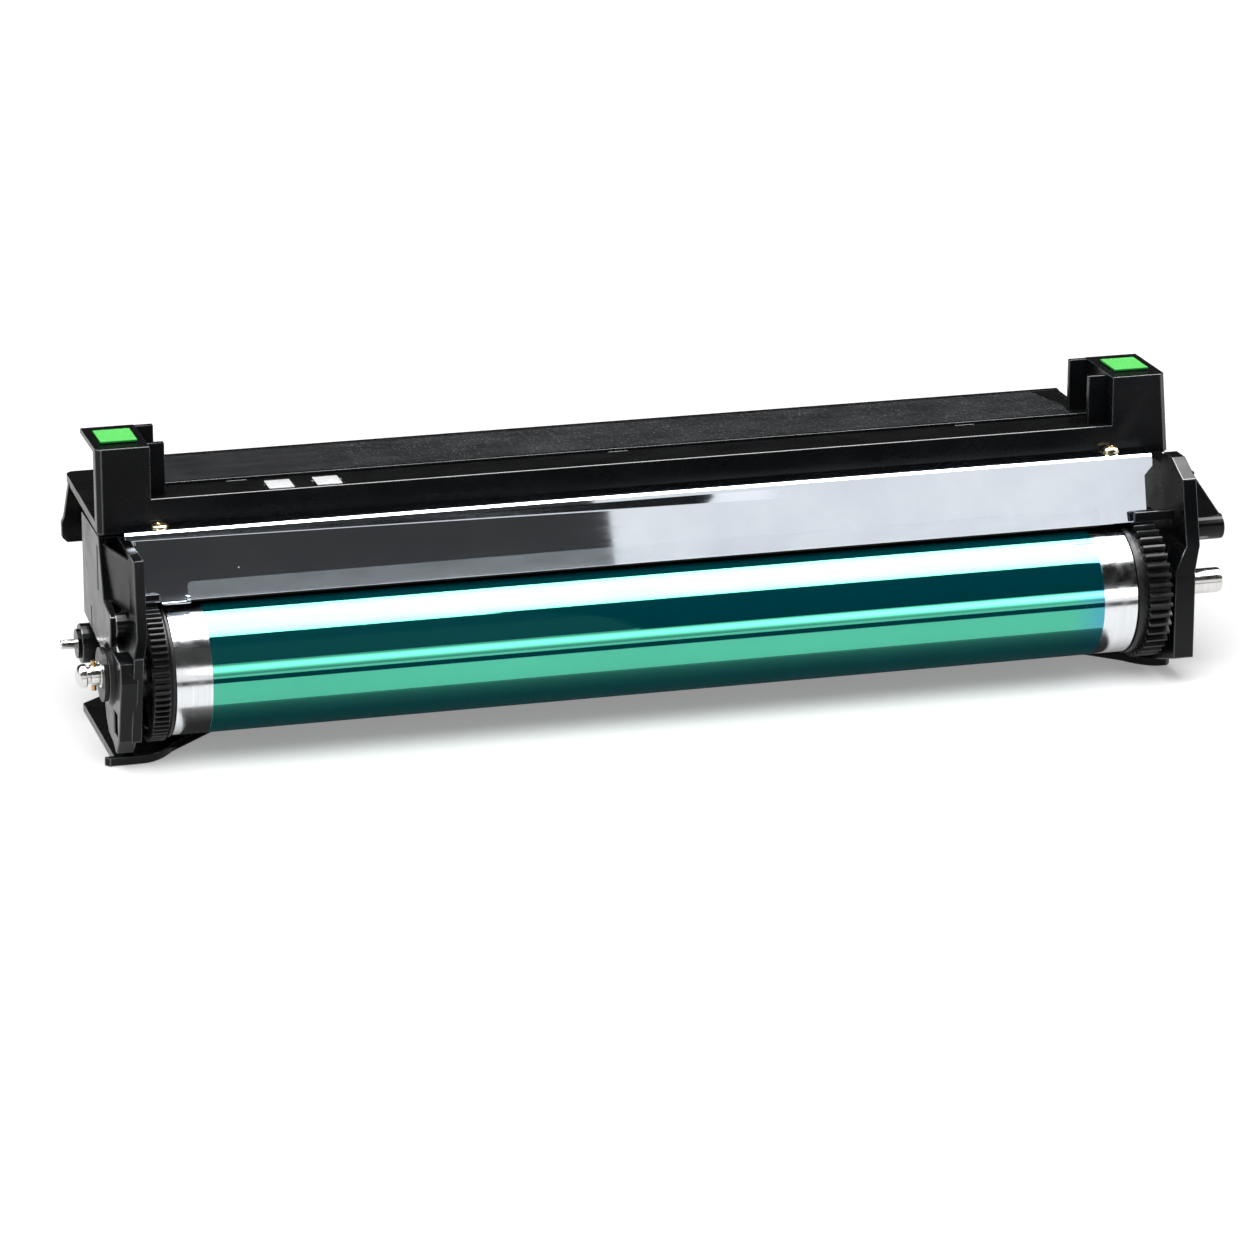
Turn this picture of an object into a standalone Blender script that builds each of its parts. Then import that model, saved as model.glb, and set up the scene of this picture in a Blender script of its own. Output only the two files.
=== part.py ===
"""Printer drum unit: a photoconductor drum with its gears and axle, carried by two
moulded end plates on a waste toner housing, with a cleaning blade above the drum, a
charge roller below it and a waste auger behind it.

Everything is modelled about the drum's axis: X runs along the drum, Y to the back of the
unit and Z up. One empty then lifts the whole unit so that it stands on Z = 0.
"""

from math import acos, atan2, cos, hypot, pi, radians, sin, sqrt

import bmesh
import bpy
from mathutils import Vector

# Clearances
GAP = 0.0003
PRESS_GAP = 0.0001
RUNNING_GAP = 0.00006
OVERLAP = 0.0005

# Drum. The coated length sets the unit's width: a size named PAST is how far that
# place along X lies past the end of the coating, so the whole unit grows or shrinks with it.
COAT_HALF = 0.10545
DRUM_RADIUS = 0.015
BARE_END = 0.00845
TUBE_WALL = 0.001
DRUM_SEGMENTS = 48
AXIS_HEIGHT = 0.0205

# Drum flanges and their gears
SPIGOT_LENGTH = 0.008
FLANGE_RIM_RADIUS = 0.0153
GEAR_MODULE = 0.00047
LEFT_GEAR_TEETH = 66
LEFT_GEAR_WIDTH = 0.0036
LEFT_COLLAR_WIDTH = 0.0013
RIGHT_GEAR_TEETH = 42
RIGHT_GEAR_MODULE = 0.00075
RIGHT_GEAR_WIDTH = 0.0055
RIGHT_COLLAR_WIDTH = 0.0025
GEAR_POCKET_DEPTH = 0.0018
GEAR_RIM_WALL = 0.0022
GEAR_HUB_RADIUS = 0.0062
GEAR_POCKETS = 6
GEAR_SPOKE_TURN = radians(9)
TOOTH_PLAY = 0.08

# Axle
AXLE_RADIUS = 0.003
AXLE_NECK_RADIUS = 0.0024
AXLE_GROOVE_RADIUS = 0.0019
AXLE_HEAD_RADIUS = 0.0027
AXLE_HEAD_LENGTH = 0.0022
AXLE_GROOVE_LENGTH = 0.0007
AXLE_NECK_PAST = 0.02295
AXLE_LEFT_PAST = 0.02815
AXLE_RIGHT_PAST = 0.03445
AXLE_CHAMFER = 0.0006
AXLE_SEGMENTS = 24
KEY_RADIUS = 0.0006
KEY_FROM_GROOVE = 0.0010
KEY_STAND_OUT = 0.0011

# Housing section
WALL = 0.002
FRONT_Y = 0.0067
BACK_Y = 0.050
RIM_Z = 0.0378
RIM_WIDTH = 0.0013
DECK_Z = 0.0372
BACK_RIM_Z = 0.0373
BACK_RIM_Y = 0.0424
BACK_RIM_WIDTH = 0.0018
BACK_SHOULDER_Z = 0.0333
LEDGE_Z = 0.0306
LEDGE_FRONT_Y = 0.0020
LEDGE_THICKNESS = 0.0018
BASE_EDGE_Y = 0.0117
BASE_LEAD = 0.0016
ORIGIN_Y = 0.0295
MIDDLE_RIM_Y = 0.0190
LIP_Y = 0.0152
LIP_Z = 0.0082
LIP_RUN = 0.0038
LIP_FALL = 0.0014
DRUM_CLEARANCE = 0.0014
END_WALL = 0.0022
SADDLE_WALL = 0.002
RIB_COUNT = 5
RIB_THICKNESS = 0.0016
RIB_FRONT_Y = 0.0255

# Lid over the waste chamber
LID_THICKNESS = 0.0013
LID_LEDGE = 0.0035
LID_CORNER_X = 0.0029
LID_CORNER_Y = 0.018
LID_END_INSET = 0.0022
LID_STEPS = 8
LID_RIB_DEPTH = 0.0022
LID_RIB_WALL = 0.0014

# Sensor pads and slots in the deck
PAD_CENTRES_X = (-0.0838, -0.0727)
PAD_CENTRE_Y = 0.0115
PAD_LENGTH = 0.0058
PAD_DEPTH = 0.0034
PAD_THICKNESS = 0.0003
PAD_POCKET = 0.0008
PAD_MARGIN = 0.0004
SLOT_CENTRES_X = (-0.0925, -0.0027, 0.0819)
SLOT_LENGTH = 0.0043
SLOT_WIDTH = 0.0009
SLOT_CUT = 0.0008

# Towers with the green pads
TOWER_TOP_Z = 0.05005
TOWER_FOOT_Z = 0.0304
TOWER_OUTER_PAST = 0.02115
TOWER_INNER_PAST = 0.00885
TOWER_FRONT_WALL = 0.002
TOWER_SIDE_WALL = 0.0015
TOWER_RETURN_Y = 0.0104
TOWER_BACK_Y = 0.0262
TOWER_CAP = 0.0013
TOWER_CHAMFER = 0.0012
RIGHT_TOWER_MORE = 0.0007
RIGHT_TOWER_SPREAD = 0.0014
RIGHT_TOWER_DROP = 0.0006
FIN_WIDTH = 0.0042
FIN_THICKNESS = 0.0015
FIN_FRONT_Y = 0.0117
FIN_DROP = 0.0007
FIN_BACK_Y = 0.0247
GREEN_PAD_LENGTH = 0.0084
GREEN_PAD_DEPTH = 0.0099
GREEN_PAD_CENTRE_Y = 0.0160
GREEN_PAD_THICKNESS = 0.0006

# Wings outboard of the housing, and the ear that hangs behind the left one
WING_OUTER_PAST = 0.02085
WING_FRONT_Y = 0.0083
WING_THICKNESS = 0.0021
WING_RISE = 0.0014
WING_CORNER = 0.002
EAR_Y = 0.0445
EAR_THICKNESS = 0.002
EAR_LOW_Z = 0.0178
EAR_INNER_PAST = 0.01575
EAR_OUTER_PAST = 0.02285
EAR_LUG_Z = 0.0226

# Base under the end plates
LEFT_FOOT_OUTER_PAST = 0.02285
LEFT_FOOT_FRONT_Y = -0.0043
LEFT_FOOT_FLAT = 0.0083
LEFT_FOOT_TOE = 0.0016
RIGHT_FOOT_OUTER_PAST = 0.02295
RIGHT_FOOT_FRONT_Y = 0.0002
RIGHT_FOOT_FLAT = 0.0022
FOOT_CURVE = 0.008
FOOT_BACK_Y = 0.036
FOOT_STEPS = 6

# Shrouds over the two gears
SHROUD_WALL = 0.0014
SHROUD_GAP = 0.0008
SHROUD_START = radians(40)
SHROUD_END = radians(91)
SHROUD_STEPS = 6
LEFT_SHROUD_PAST = 0.01235
RIGHT_SHROUD_PAST = 0.01715

# Blade bracket
SHEET = 0.0012
BRACKET_TOP_Y = 0.0007
BRACKET_TOP_Z = 0.0321
BRACKET_LOW_Y = -0.0030
BRACKET_LOW_Z = 0.0167
BRACKET_BEND = 0.0014
BRACKET_LEFT_PAST = 0.01615
BRACKET_RIGHT_PAST = 0.01675
BRACKET_SHOULDER = 0.0021
LEFT_SHOULDER_Z = 0.0300
RIGHT_SHOULDER_Z = 0.0272

# Blade, films and seals
BLADE_PAST = 0.00305
BLADE_THICKNESS = 0.0018
BLADE_HEIGHT = 0.0080
BLADE_DROP = 0.0005
BLADE_FILM_PAST = 0.00285
BLADE_FILM_HEIGHT = 0.0041
BLADE_FILM_THICKNESS = 0.0003
BLADE_FILM_CORNER = 0.0012
LIP_FILM_PAST = 0.00105
LIP_FILM_THICKNESS = 0.0003
LIP_FILM_REACH = 0.0015
SEAL_THICKNESS = 0.0008
SEAL_WIDTH = 0.0042
SEAL_START = radians(34)
SEAL_END = radians(78)
SEAL_STEPS = 6

# Screws
SCREW_HEAD_RADIUS = 0.0019
SCREW_HEAD_HEIGHT = 0.0014
SCREW_SHANK_RADIUS = 0.0009
SCREW_LENGTH = 0.006
SCREW_SEGMENTS = 12
SCREW_PILOT_DEPTH = 0.0065
BLADE_SCREW_PAST = 0.00765
BLADE_SCREW_Y = 0.0040
SCREW_BOSS_HALF = 0.0033
SCREW_BOSS_HEIGHT = 0.0075
POST_RADIUS = 0.0032
POST_SEGMENTS = 20
POST_Y = 0.0335
POST_HIGH_Z = 0.024
LEFT_POST_LOW_Z = 0.0155
RIGHT_POST_LOW_Z = 0.0015

# Charge roller
CHARGE_RADIUS = 0.005
CHARGE_ANGLE = radians(-32)
CHARGE_CORE_RADIUS = 0.0025
CHARGE_INSET = 0.00195
CHARGE_CORE_PAST = 0.00375
CHARGE_SEGMENTS = 28
CHARGE_BEARING_WIDTH = 0.0032
CHARGE_BEARING_HALF = 0.0038
CHARGE_BEARING_FROM_END = 0.0008
GUIDE_RIB = 0.0012
GUIDE_TOP_Z = -0.0105
SPRING_RADIUS = 0.0017
SPRING_WIRE = 0.00022
SPRING_TURNS = 4
SPRING_STEPS = 8
SPRING_SIDES = 4

# Waste auger and the gears that drive it
AUGER_Z = -0.002
AUGER_DISTANCE = 0.02985
AUGER_GEAR_TEETH = 24
IDLER_TEETH = 19
AUGER_FLIGHT_RADIUS = 0.0068
AUGER_HUB_RADIUS = 0.0030
AUGER_SHAFT_RADIUS = 0.0011
AUGER_PAST = 0.00335
AUGER_TURNS = 9
AUGER_LOBE = radians(30)
AUGER_STEPS_A_TURN = 10
AUGER_JOURNAL_RADIUS = 0.0018
AUGER_SOCKET_DEPTH = 0.009
AUGER_LEFT_PAST = 0.02665
AUGER_CLEARANCE = 0.0012
IDLER_PEG_RADIUS = 0.0017
IDLER_BOSS_RADIUS = 0.0029
AUGER_BOSS_RADIUS = 0.0046
AUGER_BOSS_PAST = 0.02215
AUGER_BUSH_RADIUS = 0.0021
AUGER_BUSH_FLANGE_RADIUS = 0.0034
AUGER_BUSH_FLANGE = 0.0008

# Left end plate
LEFT_WEB_PAST = 0.01435
LEFT_WEB = 0.0024
LEFT_JOG = 0.0012
LEFT_JOG_TOP_Z = 0.0117
LEFT_JOG_LOW_Z = 0.0080
LEFT_TOP_Z = 0.0295
LEFT_WEB_OUTLINE = (
    (-0.0125, LEFT_TOP_Z),
    (-0.0140, 0.0117),
    (-0.0160, 0.0080),
    (-0.0100, -0.0134),
    (0.0055, -0.0182),
    (0.0090, -0.0182),
    (0.0130, -0.0130),
    (0.0250, -0.0085),
    (0.0365, -0.0085),
    (0.0375, 0.0250),
    (0.0345, LEFT_TOP_Z),
)
LEFT_TAIL_PAST = 0.02075
LEFT_TAIL_OUTLINE = (
    (-0.0145, 0.0066),
    (-0.0146, 0.0020),
    (-0.0098, -0.0129),
    (-0.0062, -0.0170),
    (-0.0029, -0.0154),
    (0.0024, -0.0146),
    (0.0051, -0.0119),
    (0.0064, -0.0089),
    (0.0075, 0.0010),
    (0.0040, 0.0066),
)
LEFT_SKIN_PAST = 0.01915
LEFT_SKIN = 0.0017
LEFT_SKIN_OUTLINE = (
    (0.0083, LEFT_TOP_Z),
    (0.0044, 0.0160),
    (-0.0039, 0.0143),
    (-0.0023, 0.0040),
    (0.0053, 0.0028),
    (0.0300, 0.0053),
    (0.0295, LEFT_TOP_Z),
)
LEFT_SKIN_LOW_Z = 0.0053
LEFT_SLOT_Y = 0.0098
LEFT_SLOT_WIDTH = 0.0010
LEFT_SLOT_LOW_Z = 0.0165
LEFT_SLOT_TOP_Z = 0.0268
LEFT_SLIT_Y = 0.0195
LEFT_SLIT_LENGTH = 0.0045
LEFT_FLANGE = 0.0015
LEFT_GUSSET = 0.0011
LEFT_GUSSET_LOW_Z = 0.0155
LEFT_HUB_RADIUS = 0.0086
LEFT_HUB_PAST = 0.02175
LEFT_PEG_Y = -0.0030
LEFT_PEG_Z = 0.0121
LEFT_PEG_RADIUS = 0.0028
LEFT_PEG_PAST = 0.01975
TAIL_SLOT_Y = -0.0068
TAIL_SLOT_HALF = 0.0022
TAIL_SLOT_TOP_Z = -0.0070
TAIL_SLOT_LOW_Z = -0.0122

# Right end plate
RIGHT_WEB_PAST = 0.02115
RIGHT_WEB = 0.0034
RIGHT_LOW_WEB = 0.0050
RIGHT_JOG = 0.0032
RIGHT_JOG_TOP_Z = 0.0125
RIGHT_JOG_LOW_Z = 0.0068
RIGHT_TOP_Z = 0.0282
RIGHT_WEB_OUTLINE = (
    (0.0060, RIGHT_TOP_Z),
    (0.0045, 0.0311),
    (-0.0006, 0.0311),
    (-0.0080, 0.0277),
    (-0.0122, 0.0110),
    (-0.0136, 0.0060),
    (-0.0138, -0.0141),
    (-0.0010, -0.0182),
    (0.0100, -0.0182),
    (0.0150, -0.0130),
    (0.0300, -0.0085),
    (0.0370, -0.0050),
    (0.0375, 0.0250),
    (0.0350, RIGHT_TOP_Z),
)
RIGHT_SKIRT_PAST = 0.02755
RIGHT_SKIRT = 0.0015
RIGHT_SKIRT_DEPTH = 0.0100
RIGHT_SKIRT_Z = 0.0260
RIGHT_HUB_RADIUS = 0.0068
RIGHT_HUB_PAST = 0.02485
STUB_Y = 0.0020
STUB_Z = 0.0127
STUB_RADIUS = 0.0031
STUB_BORE = 0.0018
STUB_BORE_DEPTH = 0.009
STUB_PAST = 0.03505
STUB_SEGMENTS = 24
GUSSET_PAST = 0.03455

# Bushes
BUSH_BARREL_RADIUS = 0.0046
BUSH_FLANGE_RADIUS = 0.0062
BUSH_FLANGE = 0.0010
BUSH_SEGMENTS = 28

DRUM_HALF = COAT_HALF + BARE_END
AXLE_NECK_END = -COAT_HALF - AXLE_NECK_PAST
AXLE_LEFT_END = -COAT_HALF - AXLE_LEFT_PAST
AXLE_RIGHT_END = COAT_HALF + AXLE_RIGHT_PAST
TOWER_OUTER = COAT_HALF + TOWER_OUTER_PAST
TOWER_INNER = COAT_HALF + TOWER_INNER_PAST
LEFT_TAIL_FACE = -COAT_HALF - LEFT_TAIL_PAST
WING_OUTER = COAT_HALF + WING_OUTER_PAST
EAR_INNER = COAT_HALF + EAR_INNER_PAST
EAR_OUTER = COAT_HALF + EAR_OUTER_PAST
LEFT_FOOT_OUTER = COAT_HALF + LEFT_FOOT_OUTER_PAST
RIGHT_FOOT_OUTER = COAT_HALF + RIGHT_FOOT_OUTER_PAST
LEFT_SHROUD_END = COAT_HALF + LEFT_SHROUD_PAST
RIGHT_SHROUD_END = COAT_HALF + RIGHT_SHROUD_PAST
BRACKET_LEFT = COAT_HALF + BRACKET_LEFT_PAST
BRACKET_RIGHT = COAT_HALF + BRACKET_RIGHT_PAST
BLADE_HALF = COAT_HALF + BLADE_PAST
BLADE_FILM_HALF = COAT_HALF + BLADE_FILM_PAST
LIP_FILM_HALF = COAT_HALF + LIP_FILM_PAST
BLADE_SCREW_X = COAT_HALF + BLADE_SCREW_PAST
CHARGE_HALF = COAT_HALF - CHARGE_INSET
CHARGE_CORE_HALF = COAT_HALF + CHARGE_CORE_PAST
AUGER_HALF = COAT_HALF + AUGER_PAST
AUGER_LEFT_END = -COAT_HALF - AUGER_LEFT_PAST
AUGER_BOSS_END = -COAT_HALF - AUGER_BOSS_PAST
LEFT_WEB_FACE = -COAT_HALF - LEFT_WEB_PAST
LEFT_SKIN_FACE = -COAT_HALF - LEFT_SKIN_PAST
LEFT_HUB_END = -COAT_HALF - LEFT_HUB_PAST
LEFT_PEG_END = -COAT_HALF - LEFT_PEG_PAST
RIGHT_WEB_FACE = COAT_HALF + RIGHT_WEB_PAST
RIGHT_SKIRT_END = COAT_HALF + RIGHT_SKIRT_PAST
RIGHT_HUB_END = COAT_HALF + RIGHT_HUB_PAST
STUB_END = COAT_HALF + STUB_PAST
GUSSET_OUT = COAT_HALF + GUSSET_PAST
FLOOR_Z = -AXIS_HEIGHT
BASE_TOP_Z = FLOOR_Z + WALL
BASE_FLAT_Y = BASE_EDGE_Y + BASE_LEAD
LEFT_GEAR_RADIUS = LEFT_GEAR_TEETH * GEAR_MODULE / 2
IDLER_RADIUS = IDLER_TEETH * GEAR_MODULE / 2
AUGER_GEAR_RADIUS = AUGER_GEAR_TEETH * GEAR_MODULE / 2
AUGER_Y = sqrt(AUGER_DISTANCE**2 - AUGER_Z**2)
TROUGH_RADIUS = AUGER_FLIGHT_RADIUS + AUGER_CLEARANCE
LEFT_GEAR_FACE = -DRUM_HALF - LEFT_COLLAR_WIDTH
LEFT_GEAR_BACK = LEFT_GEAR_FACE - LEFT_GEAR_WIDTH
CHARGE_DISTANCE = DRUM_RADIUS + CHARGE_RADIUS + GAP
CHARGE_Y = CHARGE_DISTANCE * cos(CHARGE_ANGLE)
CHARGE_Z = CHARGE_DISTANCE * sin(CHARGE_ANGLE)
CHARGE_BEARING_X = CHARGE_CORE_HALF - CHARGE_BEARING_FROM_END - CHARGE_BEARING_WIDTH / 2
DRUM_HOLLOW = DRUM_RADIUS + DRUM_CLEARANCE
INNER_HALF = TOWER_INNER - END_WALL
LID_SEAT_Z = BACK_RIM_Z - LID_THICKNESS - GAP
LID_FRONT_Y = MIDDLE_RIM_Y + RIM_WIDTH + GAP
LID_BACK_Y = BACK_RIM_Y - GAP
LID_RIGHT = INNER_HALF - LID_END_INSET
LID_LEFT = -LID_RIGHT
BRACKET_LEAN = atan2(BRACKET_TOP_Y - BRACKET_LOW_Y, BRACKET_TOP_Z - BRACKET_LOW_Z)
LEFT_LOW_FACE = LEFT_WEB_FACE - LEFT_JOG
RIGHT_LOW_FACE = RIGHT_WEB_FACE - RIGHT_JOG

for old in list(bpy.data.objects):
    bpy.data.objects.remove(old, do_unlink=True)


# Materials


def material(name, colour, roughness, metallic=0.0, alpha=1.0):
    made = bpy.data.materials.new(name)
    made.use_nodes = True
    shader = made.node_tree.nodes["Principled BSDF"]
    shader.inputs["Base Color"].default_value = (*colour, 1.0)
    shader.inputs["Roughness"].default_value = roughness
    shader.inputs["Metallic"].default_value = metallic
    shader.inputs["Alpha"].default_value = alpha
    return made


BLACK_MOULDING = material("black_moulding", (0.012, 0.012, 0.014), 0.3)
GREEN_COATED_TUBE = material("green_coated_tube", (0.02, 0.30, 0.25), 0.12, 0.4)
BLACK_GEAR = material("black_gear", (0.015, 0.015, 0.017), 0.4)
STEEL = material("steel", (0.62, 0.62, 0.62), 0.2, 1.0)
ZINC_SHEET = material("zinc_sheet", (0.60, 0.62, 0.64), 0.3, 1.0)
BRASS = material("brass", (0.70, 0.52, 0.28), 0.3, 1.0)
BLADE_RUBBER = material("blade_rubber", (0.55, 0.45, 0.28), 0.4)
CLEAR_FILM = material("clear_film", (0.75, 0.78, 0.80), 0.2, 0.0, 0.5)
FELT = material("felt", (0.10, 0.10, 0.10), 0.95)
GREEN_FOAM = material("green_foam", (0.20, 0.75, 0.25), 0.6)
WHITE_PAD = material("white_pad", (0.85, 0.85, 0.85), 0.5)
ROLLER_RUBBER = material("roller_rubber", (0.02, 0.02, 0.02), 0.5)
WHITE_MOULDING = material("white_moulding", (0.75, 0.75, 0.72), 0.4)


# Outlines


def arc(centre, radius, start, end, steps):
    """Points of an arc, both ends included."""
    turn = (end - start) / steps
    return [
        (centre[0] + radius * cos(start + turn * i), centre[1] + radius * sin(start + turn * i))
        for i in range(steps + 1)
    ]


def circle(centre, radius, segments):
    return arc(centre, radius, 0, 2 * pi * (1 - 1 / segments), segments - 1)


def sector(inner, outer, start, end, steps):
    return arc((0, 0), outer, start, end, steps) + arc((0, 0), inner, end, start, steps)


def sweep(first, middle, last, steps):
    """Points of a curve that leaves the first point towards the middle one."""
    points = []
    for step in range(steps + 1):
        t = step / steps
        weights = ((1 - t) ** 2, 2 * t * (1 - t), t**2)
        ends = (first, middle, last)
        points.append(tuple(sum(w * p[i] for w, p in zip(weights, ends)) for i in (0, 1)))
    return points


def rounded(outline, radii, steps=3):
    """The outline with a curve at each corner whose radius isn't zero."""
    points = []
    for i, corner in enumerate(outline):
        if not radii[i]:
            points.append(corner)
            continue
        here = Vector(corner)
        after = Vector(outline[(i + 1) % len(outline)])
        start = here + (Vector(outline[i - 1]) - here).normalized() * radii[i]
        end = here + (after - here).normalized() * radii[i]
        points += sweep(start, here, end, steps)
    return points


def gear_outline(teeth, module, phase=0.0):
    """A spur gear's outline: each tooth has two root and two tip corners."""
    pitch_radius = teeth * module / 2
    tip = pitch_radius + module
    root = pitch_radius - 1.25 * module
    step = 2 * pi / teeth
    half = step * (0.25 - TOOTH_PLAY / 4)
    slope = 0.36 * module / pitch_radius
    corners = (
        (root, -half - 1.25 * slope),
        (tip, slope - half),
        (tip, half - slope),
        (root, half + 1.25 * slope),
    )
    points = []
    for tooth in range(teeth):
        for radius, turn in corners:
            angle = phase + tooth * step + turn
            points.append((radius * cos(angle), radius * sin(angle)))
    return points


def meeting_point(far, near_radius, far_radius):
    """The point at one distance from the drum's axis and at another from a far point."""
    distance = hypot(*far)
    cosine = (near_radius**2 + distance**2 - far_radius**2) / (2 * near_radius * distance)
    angle = atan2(far[1], far[0]) + acos(cosine)
    return (near_radius * cos(angle), near_radius * sin(angle))


IDLER_CENTRE = meeting_point(
    (AUGER_Y, AUGER_Z), LEFT_GEAR_RADIUS + IDLER_RADIUS, IDLER_RADIUS + AUGER_GEAR_RADIUS
)


# Frames that carry the pieces


def frame(name, location, parent=None):
    empty = bpy.data.objects.new(name, None)
    empty.location = location
    empty.parent = parent
    bpy.context.scene.collection.objects.link(empty)
    return empty


UNIT = frame("drum_unit", (0, -ORIGIN_Y, AXIS_HEIGHT))
DRUM_SPINDLE = frame("drum_spindle", (0, 0, 0), UNIT)
IDLER_SPINDLE = frame("idler_spindle", (0, *IDLER_CENTRE), UNIT)
AUGER_SPINDLE = frame("auger_spindle", (0, AUGER_Y, AUGER_Z), UNIT)
CHARGE_SPINDLE = frame("charge_spindle", (0, CHARGE_Y, CHARGE_Z), UNIT)
BRACKET_PLANE = frame("bracket_plane", (0, BRACKET_LOW_Y, BRACKET_LOW_Z), UNIT)
BRACKET_PLANE.rotation_euler.x = -BRACKET_LEAN


# Meshes


def prism(outline, axis, start, end):
    """The outline pushed along an axis. Its pairs are the other two coordinates in X, Y,
    Z order."""
    index = "XYZ".index(axis)
    rings = []
    for level in (start, end):
        ring = []
        for pair in outline:
            place = list(pair)
            place.insert(index, level)
            ring.append(place)
        rings.append(ring)
    return skin(rings)


def skin(rings):
    """A closed solid over equal rings of points, with both ends capped."""
    bm = bmesh.new()
    loops = [[bm.verts.new(point) for point in points] for points in rings]
    for first, second in zip(loops, loops[1:]):
        for i in range(len(first)):
            j = (i + 1) % len(first)
            bm.faces.new((first[i], first[j], second[j], second[i]))
    bm.faces.new(loops[0])
    bm.faces.new(loops[-1])
    bmesh.ops.recalc_face_normals(bm, faces=bm.faces)
    return bm


def block(x, y, z):
    return prism([(x[0], y[0]), (x[1], y[0]), (x[1], y[1]), (x[0], y[1])], "Z", *z)


def bar(centre, radius, x, segments=AXLE_SEGMENTS):
    """A round bar along X about a centre given as Y and Z."""
    return prism(circle(centre, radius, segments), "X", *x)


def jogged(outline, face, thickness, low_thickness, jog, top, low):
    """A web along Y and Z whose lower part is moved sideways by the jog."""
    bm = prism(outline, "X", face, face + thickness)
    for height in (top, low):
        bmesh.ops.bisect_plane(
            bm,
            geom=[*bm.verts, *bm.edges, *bm.faces],
            dist=1e-7,
            plane_co=(0, 0, height),
            plane_no=(0, 0, 1),
        )
    for corner in bm.verts:
        share = min(max((top - corner.co.z) / (top - low), 0), 1)
        if abs(corner.co.x - face) > abs(thickness) / 2:
            corner.co.x += share * (low_thickness - thickness)
        corner.co.x += share * jog
    bmesh.ops.recalc_face_normals(bm, faces=bm.faces)
    return bm


def turned(profile, segments, centre=(0, 0)):
    """A solid of revolution about X from pairs of X and radius. A profile that starts
    off the axis closes as a ring."""
    bm = bmesh.new()
    rings = []
    for x, radius in profile:
        places = circle(centre, radius, segments) if radius else [centre]
        rings.append([bm.verts.new((x, *place)) for place in places])
    pairs = list(zip(rings, rings[1:]))
    if profile[0][1]:
        pairs.append((rings[-1], rings[0]))
    for first, second in pairs:
        for i in range(segments):
            j = (i + 1) % segments
            corners = [first[i % len(first)], second[i % len(second)]]
            if len(second) > 1:
                corners.append(second[j])
            if len(first) > 1:
                corners.append(first[j])
            bm.faces.new(corners)
    bmesh.ops.recalc_face_normals(bm, faces=bm.faces)
    return bm


# Objects


def to_object(bm, name, finish, parent):
    mesh = bpy.data.meshes.new(name)
    bm.to_mesh(mesh)
    bm.free()
    if finish:
        mesh.materials.append(finish)
    made = bpy.data.objects.new(name, mesh)
    made.parent = parent
    bpy.context.scene.collection.objects.link(made)
    return made


def tools(meshes, name, parent):
    """Hidden objects in a collection of their own, for a Boolean to read."""
    group = bpy.data.collections.new(name)
    bpy.context.scene.collection.children.link(group)
    for i, bm in enumerate(meshes):
        tool = to_object(bm, f"{name}_{i}", None, parent)
        bpy.context.scene.collection.objects.unlink(tool)
        group.objects.link(tool)
        tool.hide_render = True
        tool.display_type = "WIRE"
    return group


def piece(name, finish, solids, cuts=(), parent=UNIT, smooth=35):
    """One object: the solids joined, then cut."""
    made = to_object(solids[0], name, finish, parent)
    for operation, meshes in (("UNION", solids[1:]), ("DIFFERENCE", cuts)):
        if not meshes:
            continue
        modifier = made.modifiers.new(operation.lower(), "BOOLEAN")
        modifier.operation = operation
        modifier.solver = "EXACT"
        modifier.operand_type = "COLLECTION"
        modifier.collection = tools(meshes, f"{name}_{operation.lower()}", parent)
    made.data.shade_smooth()
    made.data.set_sharp_from_angle(angle=radians(smooth))
    return made


# Drum


def drum_tube():
    inner = DRUM_RADIUS - TUBE_WALL
    chamfer = TUBE_WALL / 4
    profile = [
        (-DRUM_HALF, inner),
        (-DRUM_HALF, DRUM_RADIUS - chamfer),
        (-DRUM_HALF + chamfer, DRUM_RADIUS),
        (DRUM_HALF - chamfer, DRUM_RADIUS),
        (DRUM_HALF, DRUM_RADIUS - chamfer),
        (DRUM_HALF, inner),
    ]
    tube = turned(profile, DRUM_SEGMENTS)
    piece("drum_tube", GREEN_COATED_TUBE, [tube], parent=DRUM_SPINDLE)


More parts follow.
